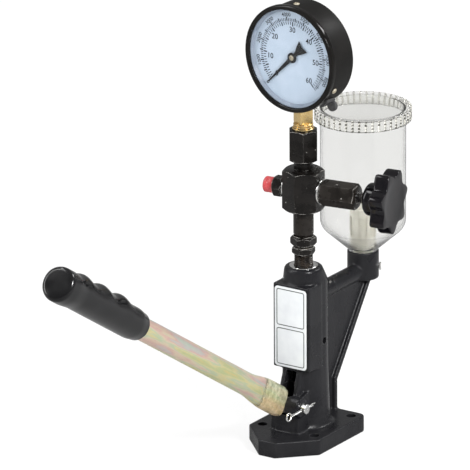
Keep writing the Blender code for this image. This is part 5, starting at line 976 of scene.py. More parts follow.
# Moulded black rubber, greyed by handling.
vent_rubber = mottled(
    "dull_rubber", (0.035, 0.035, 0.036), 0.62, (1500.0, 200.0),
    ((0.028, 0.028, 0.030), (0.050, 0.050, 0.050)),
    specular=0.3, bump=(0.0001, 0.7),
)


def vent_plug():
    """The relief plug: a head across the rim, and a neck and a pad that lie on the case."""
    out = outwards(VENT_TURN)
    thickness = (-VENT_HEAD_HALF, VENT_HEAD_HALF)
    plug = cylinder("relief_plug", VENT_HEAD_RADIUS, *thickness, 48, 0.0006)
    placed(plug, out @ Matrix.Translation((0, 0, VENT_REACH + 0.0002)) @ ALONG_X)
    neck = block("plug_neck", thickness, (-VENT_NECK_HALF, VENT_NECK_HALF), (CASE_RADIUS + CLEAR, VENT_REACH))
    pad_height = (CASE_RADIUS - 0.0022, CASE_RADIUS + 0.0025)
    pad = block("plug_pad", (VENT_PAD_BACK, VENT_HEAD_HALF), (-VENT_PAD_HALF, VENT_PAD_HALF), pad_height)
    boolean(plug, "UNION", placed(neck, out), placed(pad, out))
    case_seat = cylinder("case_seat", CASE_RADIUS + CLEAR, -0.02, 0.03, GAUGE_FACETS)
    boolean(plug, "DIFFERENCE", placed(case_seat, GAUGE))
    return bevelled(plug, 0.0003, 2, math.radians(50))


finished(vent_plug(), "frame", vent_rubber, "vent_plug")


# The dial and the works behind it: a pale blue painted disc with two printed scales, a Bourdon
# tube and a small brass frame, a black needle with a flared tail, and a flat window in front.
DIAL_FRONT = 0.0138
DIAL_THICKNESS = 0.0008
DIAL_RADIUS = 0.0426
ARBOR_HOLE_RADIUS = 0.0013
ZERO_TURN = math.radians(225)
DIAL_SWEEP = math.radians(270)
INK_THICKNESS = 0.00006
TICK_RADIUS = 0.0310
INNER_MARKS = 60
OUTER_MARKS = 87
LONG_TICK = 0.0038
MIDDLE_TICK = 0.0033
SHORT_TICK = 0.0026
BOLD_LINE = 0.0011
FINE_LINE = 0.0007
SCALE_GAP = 0.0004
PRINT_BOLDNESS_SHARE = 0.012
NUMBER_RADIUS = 0.0240
NUMBER_SIZE = 0.0066
NUMBER_LAGS = [math.radians(turn) for turn in (0, 7, 7, 1, 0, 0, 0)]
OUTER_NUMBER_RADIUS = 0.0368
OUTER_NUMBER_SIZE = 0.0048
SPACER_MOUTH = 0.0005
SPACER_FOOT = 0.0027
NEEDLE_HUB = 0.0045
NEEDLE_ROOT = 0.0018
NEEDLE_TIP = (0.0376, 0.0003)
NEEDLE_TAIL = ((-0.0068, 0.0019), (-0.0105, 0.0038), (-0.0168, 0.0060))
NEEDLE_NOTCH = (-0.0152, 0.0)
NEEDLE_LOW = 0.0148
NEEDLE_HIGH = 0.0154
CAP_LOW = 0.0157
CAP_TURN = math.radians(20)
CAP_SLOT = (-0.0004, 0.0004)

# Black printing ink, and pale blue matte paint with very faint mottling.
ink_black = mottled(
    "printing_ink", (0.010, 0.010, 0.014), 0.7, (3000.0, 1200.0),
    ((0.006, 0.006, 0.010), (0.016, 0.016, 0.022)),
    specular=0.15,
)
dial_paint = mottled(
    "dial_paint", (0.43, 0.52, 0.63), 0.5, (1600.0, 90.0), ((0.41, 0.50, 0.61), (0.45, 0.54, 0.65)),
    bump=(0.00002, 0.3),
)
dial_back = DIAL_FRONT - DIAL_THICKNESS
dial_disc = cylinder("dial_disc", DIAL_RADIUS, dial_back, DIAL_FRONT, GAUGE_FACETS, bore=ARBOR_HOLE_RADIUS)
finished(placed(dial_disc, GAUGE), "frame", dial_paint, "gauge_dial")


def on_dial(turn, radius):
    """A place on the dial: out along an angle counted from the right, anticlockwise."""
    return Vector(polar(radius, turn, DIAL_FRONT + INK_THICKNESS))


def scale_marks():
    """The ticks: two scales back to back on one circle, with long and short marks."""
    work = bmesh.new()
    outer_start = TICK_RADIUS + SCALE_GAP
    for count, start, side in ((INNER_MARKS, TICK_RADIUS, -1), (OUTER_MARKS, outer_start, 1)):
        for i in range(count + 1):
            turn = ZERO_TURN - DIAL_SWEEP * i / count
            length = LONG_TICK if i % 10 == 0 else MIDDLE_TICK if i % 5 == 0 else SHORT_TICK
            width = BOLD_LINE if i % 5 == 0 else FINE_LINE
            across = Vector((-math.sin(turn), math.cos(turn), 0)) * width / 2
            low, high = (on_dial(turn, radius) for radius in sorted((start, start + side * length)))
            corners = (low - across, high - across, high + across, low + across)
            work.faces.new([work.verts.new(corner) for corner in corners])
    return placed(built("dial_marks", work, closed=False), GAUGE)


finished(scale_marks(), "frame", ink_black)


def dial_number(text, turn, radius, size, upright):
    curve = bpy.data.curves.new("number", "FONT")
    curve.body = text
    curve.size = size
    curve.offset = size * PRINT_BOLDNESS_SHARE
    curve.align_x = "CENTER"
    curve.align_y = "CENTER"
    curve.resolution_u = 3
    lean = 0 if upright else turn - math.radians(90)
    to_place = Matrix.Translation(on_dial(turn, radius)) @ Matrix.Rotation(lean, 4, "Z")
    return placed(meshed("number", curve), to_place)


numbers = []
for i, lag in enumerate(NUMBER_LAGS):
    turn = ZERO_TURN - DIAL_SWEEP * i / 6 + lag
    numbers.append(dial_number(str(10 * i), turn, NUMBER_RADIUS, NUMBER_SIZE, True))
for i in range(9):
    turn = ZERO_TURN - DIAL_SWEEP * i / 8.7
    numbers.append(dial_number(str(1000 * i), turn, OUTER_NUMBER_RADIUS, OUTER_NUMBER_SIZE, False))
dial_numbers = placed(joined(*numbers), GAUGE)
dial_numbers.name = "dial_numbers"
finished(dial_numbers, "frame", ink_black)

# Grey blue enamel on the ring that holds the dial and the window apart, the dial's blue at about half
# its brightness: painted shade for the band along the bezel's inner wall.
spacer_shaded_blue = mottled(
    "spacer_shaded_blue", (0.20, 0.24, 0.30), 0.4, (900.0, 80.0), ((0.17, 0.21, 0.27), (0.24, 0.28, 0.34)),
)
window_low, window_high = moved_box("gauge_window", GAUGE)
spacer_outer = BEZEL_BORE - CLEAR / 2
spacer_low = DIAL_FRONT + CLEAR / 2
spacer_high = window_low.z - CLEAR / 2
spacer_profile = [
    (spacer_outer - SPACER_FOOT, spacer_low), (spacer_outer - SPACER_MOUTH, spacer_high),
    (spacer_outer, spacer_high), (spacer_outer, spacer_low),
]
finished(placed(revolved("dial_spacer", spacer_profile, GAUGE_FACETS), GAUGE), "frame", spacer_shaded_blue)

drawn_bronze = mottled(
    "drawn_bronze", (0.62, 0.38, 0.22), 0.35, (1400.0, 120.0), ((0.66, 0.42, 0.25), (0.52, 0.30, 0.17)),
    metallic=1.0,
)
coat(drawn_bronze, "bourdon_tube")
coat(brass, "movement_frame", "needle_arbor")

needle_paint = mottled(
    "needle_paint", (0.008, 0.008, 0.009), 0.5, (2000.0, 300.0),
    ((0.006, 0.006, 0.007), (0.011, 0.011, 0.011)),
    specular=0.2,
)


def needle():
    """Pressed needle: pointed in front, a round hub, and a tail that flares to a notched end."""
    start = math.asin(NEEDLE_ROOT / NEEDLE_HUB)
    upper = [NEEDLE_TIP, *arc((0, 0), NEEDLE_HUB, start, math.pi - 2 * start, 20), *NEEDLE_TAIL]
    outline = upper + [NEEDLE_NOTCH] + [(x, -y) for x, y in reversed(upper)]
    pointer = prism("needle_blade", outline, NEEDLE_LOW, NEEDLE_HIGH)
    return placed(bevelled(pointer, 0.00012), GAUGE @ Matrix.Rotation(ZERO_TURN, 4, "Z"))


finished(needle(), "needle", needle_paint, "gauge_needle")

cap_profile = [
    (0, CAP_LOW + 0.0007), (0.0012, CAP_LOW + 0.00066), (0.0020, CAP_LOW + 0.00045),
    (0.0023, CAP_LOW + 0.0002), (0.0023, CAP_LOW), (0, CAP_LOW),
]
cap = revolved("needle_screw", cap_profile, 48)
boolean(cap, "DIFFERENCE", block("cap_slot", CAP_SLOT, SLOT_ACROSS, (CAP_LOW + 0.0003, CAP_LOW + 0.002)))
finished(placed(cap, GAUGE @ Matrix.Rotation(CAP_TURN, 4, "Z")), "needle", nickel, "needle_cap")


def window_glass():
    """Flat clear window. Light goes straight through the thin sheet, and it mirrors at a slant."""
    material, tree, shader = new_material("window_glass", (0.12, 0.13, 0.14), 0.02)
    shader.inputs["IOR"].default_value = 1.45
    grain = use_group(tree, GRAIN, Scale=300.0, Patch_Scale=60.0)
    feed(tree, shader, "Roughness", ranged(tree, grain["Patches"], 0.0, 1.0, 0.01, 0.05))
    shader.inputs["Alpha"].default_value = 0.05
    material.surface_render_method = "BLENDED"
    return material


window = cylinder("window_disc", window_high.x, window_low.z, window_high.z, GAUGE_FACETS, 0.0002)
finished(placed(window, GAUGE), "frame", window_glass(), "gauge_window")


# The shut off valve on the right arm: bright washer, black hexagon bonnet, threaded spindle and a
# star knob of glossy black phenolic with seven lobes and a shallow dish in its face.
BONNET_FLATS = 0.0198
BONNET_TURN = math.radians(10)
BONNET_END = 0.0500
BONNET_BORE = 0.0052
WASHER_RADIUS = 0.0108
WASHER_THICKNESS = 0.0016
SPINDLE_RADIUS = 0.0048
SPINDLE_THREAD_START = 0.0262
SPINDLE_POINT = 0.0215
SPINDLE_IN_KNOB = 0.0097
KNOB_LOBES = 7
KNOB_TURN = math.radians(-4)
KNOB_TIP = 0.0278
KNOB_FLUTE = 0.0062
KNOB_FLUTE_POWER = 1.6
KNOB_DISH = 0.0009
HUB_START = 0.0585
HUB_RADIUS = 0.0140
HUB_ROUND = 0.004
STAR_START = 0.0705
STAR_END = 0.0835
STAR_ROUND = 0.0018
STAR_EDGE = 0.0009
LOBE_STEPS = 26

flat = BLOCK_FLATS / 2
arm_seat = flat + CLEAR
arm_washer = cylinder(
    "arm_washer", WASHER_RADIUS, arm_seat, arm_seat + WASHER_THICKNESS, 96, 0.0005, PORT_RADIUS,
)
finished(placed(arm_washer, VALVE_ARM), "frame", zinc_plating, "valve_washer")
bonnet_low = arm_seat + WASHER_THICKNESS + CLEAR
bonnet = hexagon_bar(
    "bonnet", BONNET_FLATS, bonnet_low, BONNET_END, BONNET_TURN, chamfer=0.0012, slope=0.6, edge=0.0004,
)
boolean(bonnet, "DIFFERENCE", cylinder("bonnet_bore", BONNET_BORE, SPINDLE_POINT, BONNET_END + 0.01))
finished(placed(bonnet, VALVE_ARM), "frame", oxide_brown, "valve_bonnet")

spindle_end = HUB_START + SPINDLE_IN_KNOB
spindle = threaded("spindle_thread", SPINDLE_RADIUS, SPINDLE_THREAD_START, spindle_end, depth=0.0007)
cone_profile = [
    (0, SPINDLE_THREAD_START + 0.0008), (0.0040, SPINDLE_THREAD_START),
    (0.0012, SPINDLE_POINT), (0, SPINDLE_POINT),
]
boolean(spindle, "UNION", revolved("spindle_cone", cone_profile))
finished(placed(spindle, VALVE_ARM), "valve_spindle", oxide_black, "valve_spindle")

# Polished black phenolic with fine swirls and handling haze.
phenolic = mottled(
    "phenolic", (0.006, 0.005, 0.005), 0.14, (260.0, 70.0), ((0.002, 0.002, 0.003), (0.006, 0.005, 0.006)),
    specular=0.28, shine=(0.07, 0.14), bump=(0.00004, 0.2),
)


def knob_ring(radius, height, depth=0.0):
    """A ring of points, round where no depth is given and fluted between the lobes."""
    points = []
    for i in range(KNOB_LOBES * LOBE_STEPS):
        share = i / LOBE_STEPS
        flute = math.sin(share % 1 * math.pi) ** KNOB_FLUTE_POWER
        points.append(polar(radius - depth * flute, KNOB_TURN + share * math.tau / KNOB_LOBES, height))
    return points


def star_knob():
    quarter = math.radians(90)
    hub = arc((HUB_RADIUS - HUB_ROUND, HUB_START + HUB_ROUND), HUB_ROUND, -quarter, quarter, 5)
    back_round = arc((KNOB_TIP - STAR_ROUND, STAR_START + STAR_ROUND), STAR_ROUND, -quarter, quarter, 4)
    front_edge = arc((KNOB_TIP - STAR_EDGE, STAR_END - STAR_EDGE), STAR_EDGE, 0, quarter, 4)
    rings = [knob_ring(radius, height) for radius, height in hub]
    rings.append(knob_ring(HUB_RADIUS, STAR_START - 0.001))
    rings.append(knob_ring(HUB_RADIUS + 0.001, STAR_START))
    rings += [knob_ring(radius, height, KNOB_FLUTE) for radius, height in back_round + front_edge]
    dish = KNOB_TIP - KNOB_FLUTE - STAR_EDGE * 2
    for share, drop in ((1.0, 0.0), (0.9, 0.25), (0.7, 0.6), (0.5, 0.85), (0.25, 1.0)):
        rings.append(knob_ring(dish * share, STAR_END - KNOB_DISH * drop))
    socket = cylinder("knob_socket", SPINDLE_RADIUS + CLEAR, HUB_START - 0.01, HUB_START + 0.010)
    return boolean(skinned("star_knob", rings), "DIFFERENCE", socket)


finished(placed(star_knob(), VALVE_ARM), "valve_knob", phenolic, "valve_knob")


# The outlet on the left arm, for the pipe to the injector: bright washer, small black hexagon
# with a threaded nose, and a soft red cap that keeps dirt out.
OUTLET_FLATS = 0.0160
OUTLET_HEX_END = 0.0262
OUTLET_WASHER_RADIUS = 0.0080
OUTLET_WASHER_THICKNESS = 0.0013
NOSE_RADIUS = 0.0054
NOSE_END = 0.0334
CAP_END = 0.0352
CAP_WIDE = 0.0068
CAP_BORE = NOSE_RADIUS + CLEAR
CAP_ROUND = 0.0010
CAP_GROOVE = 0.0005

washer_top = arm_seat + OUTLET_WASHER_THICKNESS
left_washer = cylinder(
    "left_washer", OUTLET_WASHER_RADIUS, arm_seat, washer_top, 96, 0.0004, OUTLET_PORT_RADIUS,
)
finished(placed(left_washer, OUTLET_ARM), "frame", zinc_plating, "outlet_washer")
fitting = hexagon_bar("fitting", OUTLET_FLATS, washer_top + CLEAR, OUTLET_HEX_END, chamfer=0.0010, slope=0.6)
nose = threaded("nose_thread", NOSE_RADIUS, OUTLET_HEX_END - 0.001, NOSE_END, depth=0.0006)
boolean(fitting, "UNION", nose)
boolean(fitting, "DIFFERENCE", cylinder("outlet_bore", FUEL_BORE, flat, NOSE_END + 0.01, 32))
finished(placed(fitting, OUTLET_ARM), "frame", oxide_black, "outlet_fitting")

# Soft red moulded cap, slightly dusty.
red_vinyl = mottled(
    "red_vinyl", (0.38, 0.035, 0.04), 0.38, (900.0, 160.0), ((0.34, 0.030, 0.034), (0.44, 0.055, 0.060)),
    shine=(0.32, 0.48), bump=(0.00015, 0.5),
)
cap_base = OUTLET_HEX_END + CLEAR
cap_middle = (cap_base + CAP_END) / 2
red_cap_profile = [
    (0, CAP_END), (CAP_WIDE - CAP_ROUND, CAP_END), (CAP_WIDE, CAP_END - CAP_ROUND),
    (CAP_WIDE, cap_middle + 0.0006), (CAP_WIDE - CAP_GROOVE, cap_middle), (CAP_WIDE, cap_middle - 0.0006),
    (CAP_WIDE, cap_base), (CAP_BORE, cap_base), (CAP_BORE, NOSE_END + CLEAR), (0, NOSE_END + CLEAR),
]
red_cap = placed(revolved("red_cap", eased(red_cap_profile, 0.0004), 64), OUTLET_ARM)
finished(red_cap, "dust_cap", red_vinyl, "dust_cap")


# The fuel cup: thin clear moulded plastic, screwed by its neck into the boss, with a cream strainer
# standing in the funnel and a loose lid whose rim is moulded with square ribs.
CUP_RADIUS = 0.0365
CUP_WALL = 0.0018
CUP_TOP_Z = 0.2662
CUP_BEND = 0.006
FUNNEL_TOP_Z = 0.1635
FUNNEL_LOW_Z = 0.1430
FUNNEL_LOW_RADIUS = 0.0136
FUNNEL_DRAFT = 0.0009
NECK_RADIUS = 0.0100
NECK_LOW_Z = 0.1255
GAUZE_RADIUS = 0.0097
GAUZE_WALL = 0.0002
GAUZE_LOW_Z = 0.1490
GAUZE_HIGH_Z = 0.1784
LID_RIBS = 46
LID_RADIUS = 0.0414
LID_RIB_DEPTH = 0.0016
LID_CORE_RADIUS = LID_RADIUS - LID_RIB_DEPTH
LID_RIM_WIDTH = 0.0018
LID_RIM_HEIGHT = 0.0007
LID_RIB_SHAPE = ((0.0, LID_CORE_RADIUS), (0.20, LID_CORE_RADIUS), (0.28, LID_RADIUS), (0.92, LID_RADIUS))
RIB_ROWS_PER_METRE = 345.0
LID_RIB_LOW_INSET = 0.0004
LID_RIB_HIGH_INSET = 0.0009


def clear_plastic(name, index, tint, edge_on_shade_color, haze_low_z, haze_high_z):
    """Clear moulded plastic: painted shade darkens it where it is seen edge on, and it is hazy low down where
    oil lies.
    """
    material, tree, shader = new_material(name, tint, 0.08)
    shader.inputs["IOR"].default_value = index
    shader.inputs["Transmission Weight"].default_value = 1.0
    grain = use_group(tree, GRAIN, Scale=500.0, Patch_Scale=35.0)
    slant = node(tree, "ShaderNodeLayerWeight", Blend=0.5).outputs["Facing"]
    # Painted shade: the base colour goes to the darker tint where the surface is seen edge on.
    edge_on_shade_mask = ranged(tree, slant, 0.74, 0.90, 0.0, 1.0)
    feed(tree, shader, "Base Color", mixed_color(tree, edge_on_shade_mask, tint, edge_on_shade_color))
    place = own_place(tree)
    height = node(tree, "ShaderNodeSeparateXYZ", Vector=place).outputs["Z"]
    haze = ranged(tree, height, haze_high_z, haze_low_z, 0.0, 0.12)
    cloud = ranged(tree, grain["Patches"], 0.0, 1.0, 0.04, 0.12)
    feed(tree, shader, "Roughness", math_node(tree, "ADD", haze, cloud))
    add_bump(tree, shader, grain["Height"], 0.0001, 0.25)
    return material


def bent(start, corner, end, steps=8):
    """Three points with a wide bend in place of the middle one."""
    middle = Vector(corner)
    first = middle + (Vector(start) - middle).normalized() * CUP_BEND
    last = middle + (Vector(end) - middle).normalized() * CUP_BEND
    shares = [step / steps for step in range(steps + 1)]
    bend = [tuple(first * (1 - s) ** 2 + middle * 2 * s * (1 - s) + last * s**2) for s in shares]
    return [start, *bend, end]


def cup_profile():
    """The cup's section with a wide bend at the shoulder and sharp corners elsewhere."""
    slope = math.atan2(CUP_RADIUS - FUNNEL_LOW_RADIUS, FUNNEL_TOP_Z - FUNNEL_LOW_Z)
    rise = CUP_WALL * math.tan(slope / 2)
    seat = BOSS_HIGH_Z + CLEAR
    inside = CUP_RADIUS - CUP_WALL
    outer_shoulder = [(CUP_RADIUS, CUP_TOP_Z), (CUP_RADIUS, FUNNEL_TOP_Z), (FUNNEL_LOW_RADIUS, FUNNEL_LOW_Z)]
    funnel_inside = (FUNNEL_LOW_RADIUS - CUP_WALL, FUNNEL_LOW_Z + rise)
    inner_shoulder = [funnel_inside, (inside, FUNNEL_TOP_Z + rise), (inside, CUP_TOP_Z)]
    neck = [
        (FUNNEL_LOW_RADIUS - FUNNEL_DRAFT, seat), (NECK_RADIUS, seat), (NECK_RADIUS, NECK_LOW_Z),
        (NECK_RADIUS - CUP_WALL, NECK_LOW_Z), (NECK_RADIUS - CUP_WALL, FUNNEL_LOW_Z + rise),
    ]
    return bent(*outer_shoulder) + neck + bent(*inner_shoulder)


cup_plastic = clear_plastic("cup_plastic", 1.25, (0.95, 0.95, 0.94), (0.12, 0.13, 0.12), 0.165, 0.215)
finished(placed(revolved("clear_cup", cup_profile(), 128), CUP), "frame", cup_plastic, "fuel_cup")

# The strainer is of cream plastic, a little oily, with fine cream gauze inside it.
cream_moulding = mottled(
    "cream_moulding", (0.82, 0.80, 0.70), 0.5, (1400.0, 90.0), ((0.78, 0.76, 0.66), (0.86, 0.84, 0.75)),
    bump=(0.0002, 0.6),
)
woven_gauze = mottled(
    "woven_gauze", (0.74, 0.72, 0.62), 0.6, (3000.0, 150.0), ((0.70, 0.68, 0.58), (0.80, 0.78, 0.69)),
    bump=(0.0001, 0.6),
)
coat(cream_moulding, "fuel_strainer")
gauze = cylinder("gauze", GAUZE_RADIUS, GAUZE_LOW_Z, GAUZE_HIGH_Z, 96, bore=GAUZE_RADIUS - GAUZE_WALL)
finished(placed(gauze, CUP), "frame", woven_gauze)


def lid():
    low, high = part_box("cup_lid")
    outline = []
    for number in range(LID_RIBS):
        for share, radius in LID_RIB_SHAPE:
            outline.append(polar(radius, (number + share) * math.tau / LID_RIBS))
    ribs = prism("ribbed_lid", outline, low.z + LID_RIB_LOW_INSET, high.z - LID_RIB_HIGH_INSET)
    top = high.z - LID_RIM_HEIGHT
    rim = LID_CORE_RADIUS - LID_RIM_WIDTH
    wide = LID_CORE_RADIUS + 0.0005
    core_profile = [
        (0, top), (rim, top), (rim, high.z), (LID_CORE_RADIUS - 0.0006, high.z), (wide, top - 0.0005),
        (wide, low.z), (0, low.z),
    ]
    boolean(ribs, "UNION", revolved("lid_core", eased(core_profile, 0.0003), 128))
    hollow = cylinder("lid_hollow", CUP_RADIUS + 0.0004, low.z - 0.01, CUP_TOP_Z + CLEAR, 128)
    return placed(boolean(ribs, "DIFFERENCE", hollow), CUP)


lid_plastic = clear_plastic("lid_plastic", 1.20, (0.96, 0.96, 0.94), (0.62, 0.59, 0.48), 0.0, 0.1)
ribbed_lid = finished(lid(), "lid", lid_plastic, "cup_lid")


def rib_shade():
    """For the sides of the ribs and the valleys between them: painted shade in fine dark lines, broken into
    rows of dashes, and pale where seen from behind.
    """
    material, tree, shader = new_material("rib_shade", (0.20, 0.19, 0.15), 0.35)
    shader.inputs["Transmission Weight"].default_value = 0.6
    place = own_place(tree)
    broken = noise(tree, place, 260.0, 1.0)
    height = node(tree, "ShaderNodeSeparateXYZ", Vector=place).outputs["Z"]
    row = math_node(tree, "FRACT", math_node(tree, "MULTIPLY", height, RIB_ROWS_PER_METRE))
    # Painted shade, broken into rows of dashes up the rim.
    shade_rows = math_node(tree, "ADD", math_node(tree, "MULTIPLY", row, 0.6), broken)
    inside = tree.nodes.new("ShaderNodeNewGeometry").outputs["Backfacing"]
    unshaded = math_node(tree, "MAXIMUM", ranged(tree, shade_rows, 0.66, 0.80, 0.0, 1.0), inside)
    feed(tree, shader, "Base Color", mixed_color(tree, unshaded, (0.02, 0.02, 0.015), (0.95, 0.93, 0.86)))
    return material


# The rib sides and the valleys between the ribs get the painted shade of rib_shade.
ribbed_lid.data.materials.append(rib_shade())
for face in ribbed_lid.data.polygons:
    from_axis = face.center - Vector((0, CUP_AXIS_Y, face.center.z))
    turned_out = abs(face.normal.dot(from_axis.normalized())) > 0.5
    rib_side = from_axis.length > LID_CORE_RADIUS and not turned_out
    valley = LID_CORE_RADIUS < from_axis.length < LID_CORE_RADIUS + LID_RIB_DEPTH / 2 and turned_out
    if abs(face.normal.z) < 0.5 and (rib_side or valley):
        face.material_index = 1


# The lever: a dark steel block on the pivot pin, a pressed tube plated in yellow zinc, flattened
# where it takes the block, and a moulded rubber grip with three finger bumps on its upper side.
LEVER_RAISE = math.radians(31.8)
LEVER = Matrix.Translation(PIVOT) @ Matrix.Rotation(-LEVER_RAISE, 4, "X")
TUBE_WALL = 0.0018
TUBE_START = 0.0074
TUBE_MOUTH_END = 0.013
TUBE_ROUND_START = 0.034
TUBE_ROUND_END = 0.070
TUBE_END = 0.376
TUBE_HALF = 0.0118
TUBE_BULGE = 0.0013
TUBE_RADIUS = 0.0098
TUBE_FLAT_HALF = 0.0052
CREASE_PLACE = 0.0455
CREASE_DEPTH = 0.0007
CREASE_WIDTH = 0.0020
GRIP_START = 0.259
GRIP_END = 0.394
GRIP_RADIUS = 0.0137
GRIP_SWELL = 0.0013
GRIP_KNOB_LENGTH = 0.015
GRIP_END_ROUND = 0.004
GRIP_MOUTH_ROUND = 0.0012
GRIP_BORE = 0.0101
BUMP_START = 0.299
BUMP_SPACING = 0.031
BUMP_HEIGHT = 0.0032
AROUND = 64
BEND_RINGS = 48
STRAIGHT_RINGS = 20
GRIP_RINGS = 150

coat(steel_dark, "lever_block")


def eased_step(value, low, high):
    share = min(max((value - low) / (high - low), 0), 1)
    return share * share * (3 - 2 * share)


def lever_section(across, upright, along, power=2.0):
    """A ring of points round the lever's axis. A power above 2 makes the section squarer."""
    points = []
    for i in range(AROUND):
        side, up = polar(1, math.tau * i / AROUND)
        x = across * math.copysign(abs(side) ** (2 / power), side)
        z = upright * math.copysign(abs(up) ** (2 / power), up)
        points.append(Vector((x, -along, z)))
    return points


def tube_sizes(along):
    """Half thickness, half height and squareness of the pressed tube at a place along it."""
    to_round = eased_step(along, TUBE_ROUND_START, TUBE_ROUND_END)
    flat_height = TUBE_HALF + TUBE_BULGE * eased_step(along, TUBE_START, TUBE_MOUTH_END)
    height = flat_height + (TUBE_RADIUS - flat_height) * to_round
    crease = CREASE_DEPTH * math.exp(-(((along - CREASE_PLACE) / CREASE_WIDTH) ** 2))
    across = TUBE_FLAT_HALF + (TUBE_RADIUS - TUBE_FLAT_HALF) * to_round - crease
    return across, height, 3.4 - 1.4 * to_round


def pressed_tube():
    bend_end = TUBE_ROUND_END + 0.004
    places = [TUBE_START + (bend_end - TUBE_START) * i / BEND_RINGS for i in range(BEND_RINGS)]
    places += [bend_end + (TUBE_END - bend_end) * i / STRAIGHT_RINGS for i in range(STRAIGHT_RINGS + 1)]
    outer = []
    inner_rings = []
    for along in places:
        across, height, power = tube_sizes(along)
        outer.append(lever_section(across, height, along, power))
        inner_rings.append(lever_section(across - TUBE_WALL, height - TUBE_WALL, along, power))
    return skinned("pressed_tube", outer + inner_rings[::-1], closed=True)


def yellow_zinc():
    """Yellow passivated zinc: pale gold that drifts to green and rose in bands, with drawing lines."""
    material, tree, shader = new_material("yellow_zinc", (0.72, 0.66, 0.42), 0.4, 0.45)
    place = own_place(tree)
    along_lever = node(tree, "ShaderNodeMapping", Vector=place, Rotation=(LEVER_RAISE, 0, 0)).outputs[0]
    stretch = node(tree, "ShaderNodeMapping", Vector=along_lever, Scale=(75, 8, 75)).outputs[0]
    spread = ranged(tree, noise(tree, stretch, 1.3, 6.0, Roughness=0.55), 0.30, 0.70, 0.14, 0.86)
    split = node(tree, "ShaderNodeSeparateXYZ", Vector=along_lever).outputs
    axis_height = PIVOT.y * math.sin(LEVER_RAISE) + PIVOT.z * math.cos(LEVER_RAISE)
    pivot_reach = PIVOT.y * math.cos(LEVER_RAISE) - PIVOT.z * math.sin(LEVER_RAISE)
    upper = ranged(tree, split["Z"], axis_height - TUBE_HALF, axis_height + TUBE_HALF, -0.20, 0.20)
    ramp = node(tree, "ShaderNodeValToRGB", Fac=math_node(tree, "ADD", spread, upper))
    bands = (
        (0.06, (0.46, 0.30, 0.13, 1)), (0.18, (0.44, 0.38, 0.17, 1)), (0.28, (0.34, 0.38, 0.20, 1)),
        (0.38, (0.48, 0.42, 0.22, 1)), (0.47, (0.33, 0.39, 0.27, 1)), (0.56, (0.48, 0.40, 0.29, 1)),
        (0.65, (0.46, 0.30, 0.26, 1)), (0.74, (0.38, 0.36, 0.34, 1)), (0.83, (0.35, 0.40, 0.33, 1)),
        (0.94, (0.48, 0.36, 0.34, 1)),
    )
    ramp.color_ramp.elements[0].position, ramp.color_ramp.elements[0].color = bands[0]
    ramp.color_ramp.elements[1].position, ramp.color_ramp.elements[1].color = bands[-1]
    for position, color in bands[1:-1]:
        ramp.color_ramp.elements.new(position).color = color
    along = math_node(tree, "SUBTRACT", pivot_reach, split["Y"])
    pressed = ranged(tree, along, CREASE_PLACE + 0.006, CREASE_PLACE - 0.004, 0.0, 0.6)
    blotches = ranged(tree, noise(tree, place, 210.0, 3.0), 0.36, 0.62, 0.0, 1.0)
    green = mixed_color(tree, blotches, (0.26, 0.31, 0.15), (0.60, 0.62, 0.38))
    rusty = mixed_color(tree, blotches, (0.42, 0.26, 0.14), (0.64, 0.45, 0.29))
    low_side = ranged(tree, split["Z"], axis_height + 0.001, axis_height - 0.005, 0.0, 1.0)
    color = mixed_color(tree, pressed, ramp.outputs["Color"], mixed_color(tree, low_side, green, rusty))
    off_crease = math_node(tree, "ABSOLUTE", math_node(tree, "SUBTRACT", along, CREASE_PLACE))
    near_crease = ranged(tree, off_crease, 0.0045, 0.0010, 0.0, 1.0)
    handled = math_node(tree, "MAXIMUM", near_crease, math_node(tree, "MULTIPLY", pressed, 0.5))
    scratches = ranged(tree, noise(tree, place, 700.0, 3.0), 0.46, 0.56, 0.0, 0.8)
    stained = math_node(tree, "MULTIPLY", scratches, handled)
    color = mixed_color(tree, stained, color, (0.060, 0.065, 0.035))
    lines = node(tree, "ShaderNodeMapping", Vector=along_lever, Scale=(1, 0.02, 1)).outputs[0]
    grain = use_group(tree, GRAIN, Scale=900.0, Patch_Scale=160.0)
    worn = use_group(tree, WEAR, Width=0.0006, Reach=0.5, Break_Up_Scale=350.0)["Mask"]
    feed(tree, shader, "Base Color", mixed_color(tree, worn, color, (0.30, 0.28, 0.22)))
    feed(tree, shader, "Roughness", ranged(tree, grain["Patches"], 0.0, 1.0, 0.34, 0.46))
    add_bump(tree, shader, noise(tree, lines, 1800.0, 3.0), 0.00005, 0.4)
    return material


finished(placed(pressed_tube(), LEVER), "lever", yellow_zinc(), "lever_tube")


def end_round(from_end, radius):
    """How far a rounded end draws in at a distance from it."""
    if from_end >= radius:
        return 0
    return radius - math.sqrt(max(0, radius**2 - (radius - from_end) ** 2))


def grip_radius(along):
    knob_start = GRIP_END - GRIP_KNOB_LENGTH
    swell = eased_step(along, knob_start - GRIP_KNOB_LENGTH, knob_start + 0.004)
    flare = eased_step(along, GRIP_START, GRIP_START + GRIP_RADIUS)
    radius = GRIP_RADIUS + GRIP_SWELL * (swell + flare - 1)
    radius -= end_round(GRIP_END - along, GRIP_END_ROUND)
    return radius - end_round(along - GRIP_START, GRIP_MOUTH_ROUND)


def grip_bump(along):
    """The height of the three finger bumps, each a smooth wave as long as their spacing."""
    height = 0
    for number in range(3):
        away = abs(along - BUMP_START - number * BUMP_SPACING)
        height += BUMP_HEIGHT * math.sin(max(0, 1 - away / (BUMP_SPACING / 2)) * math.pi / 2) ** 2
    return height


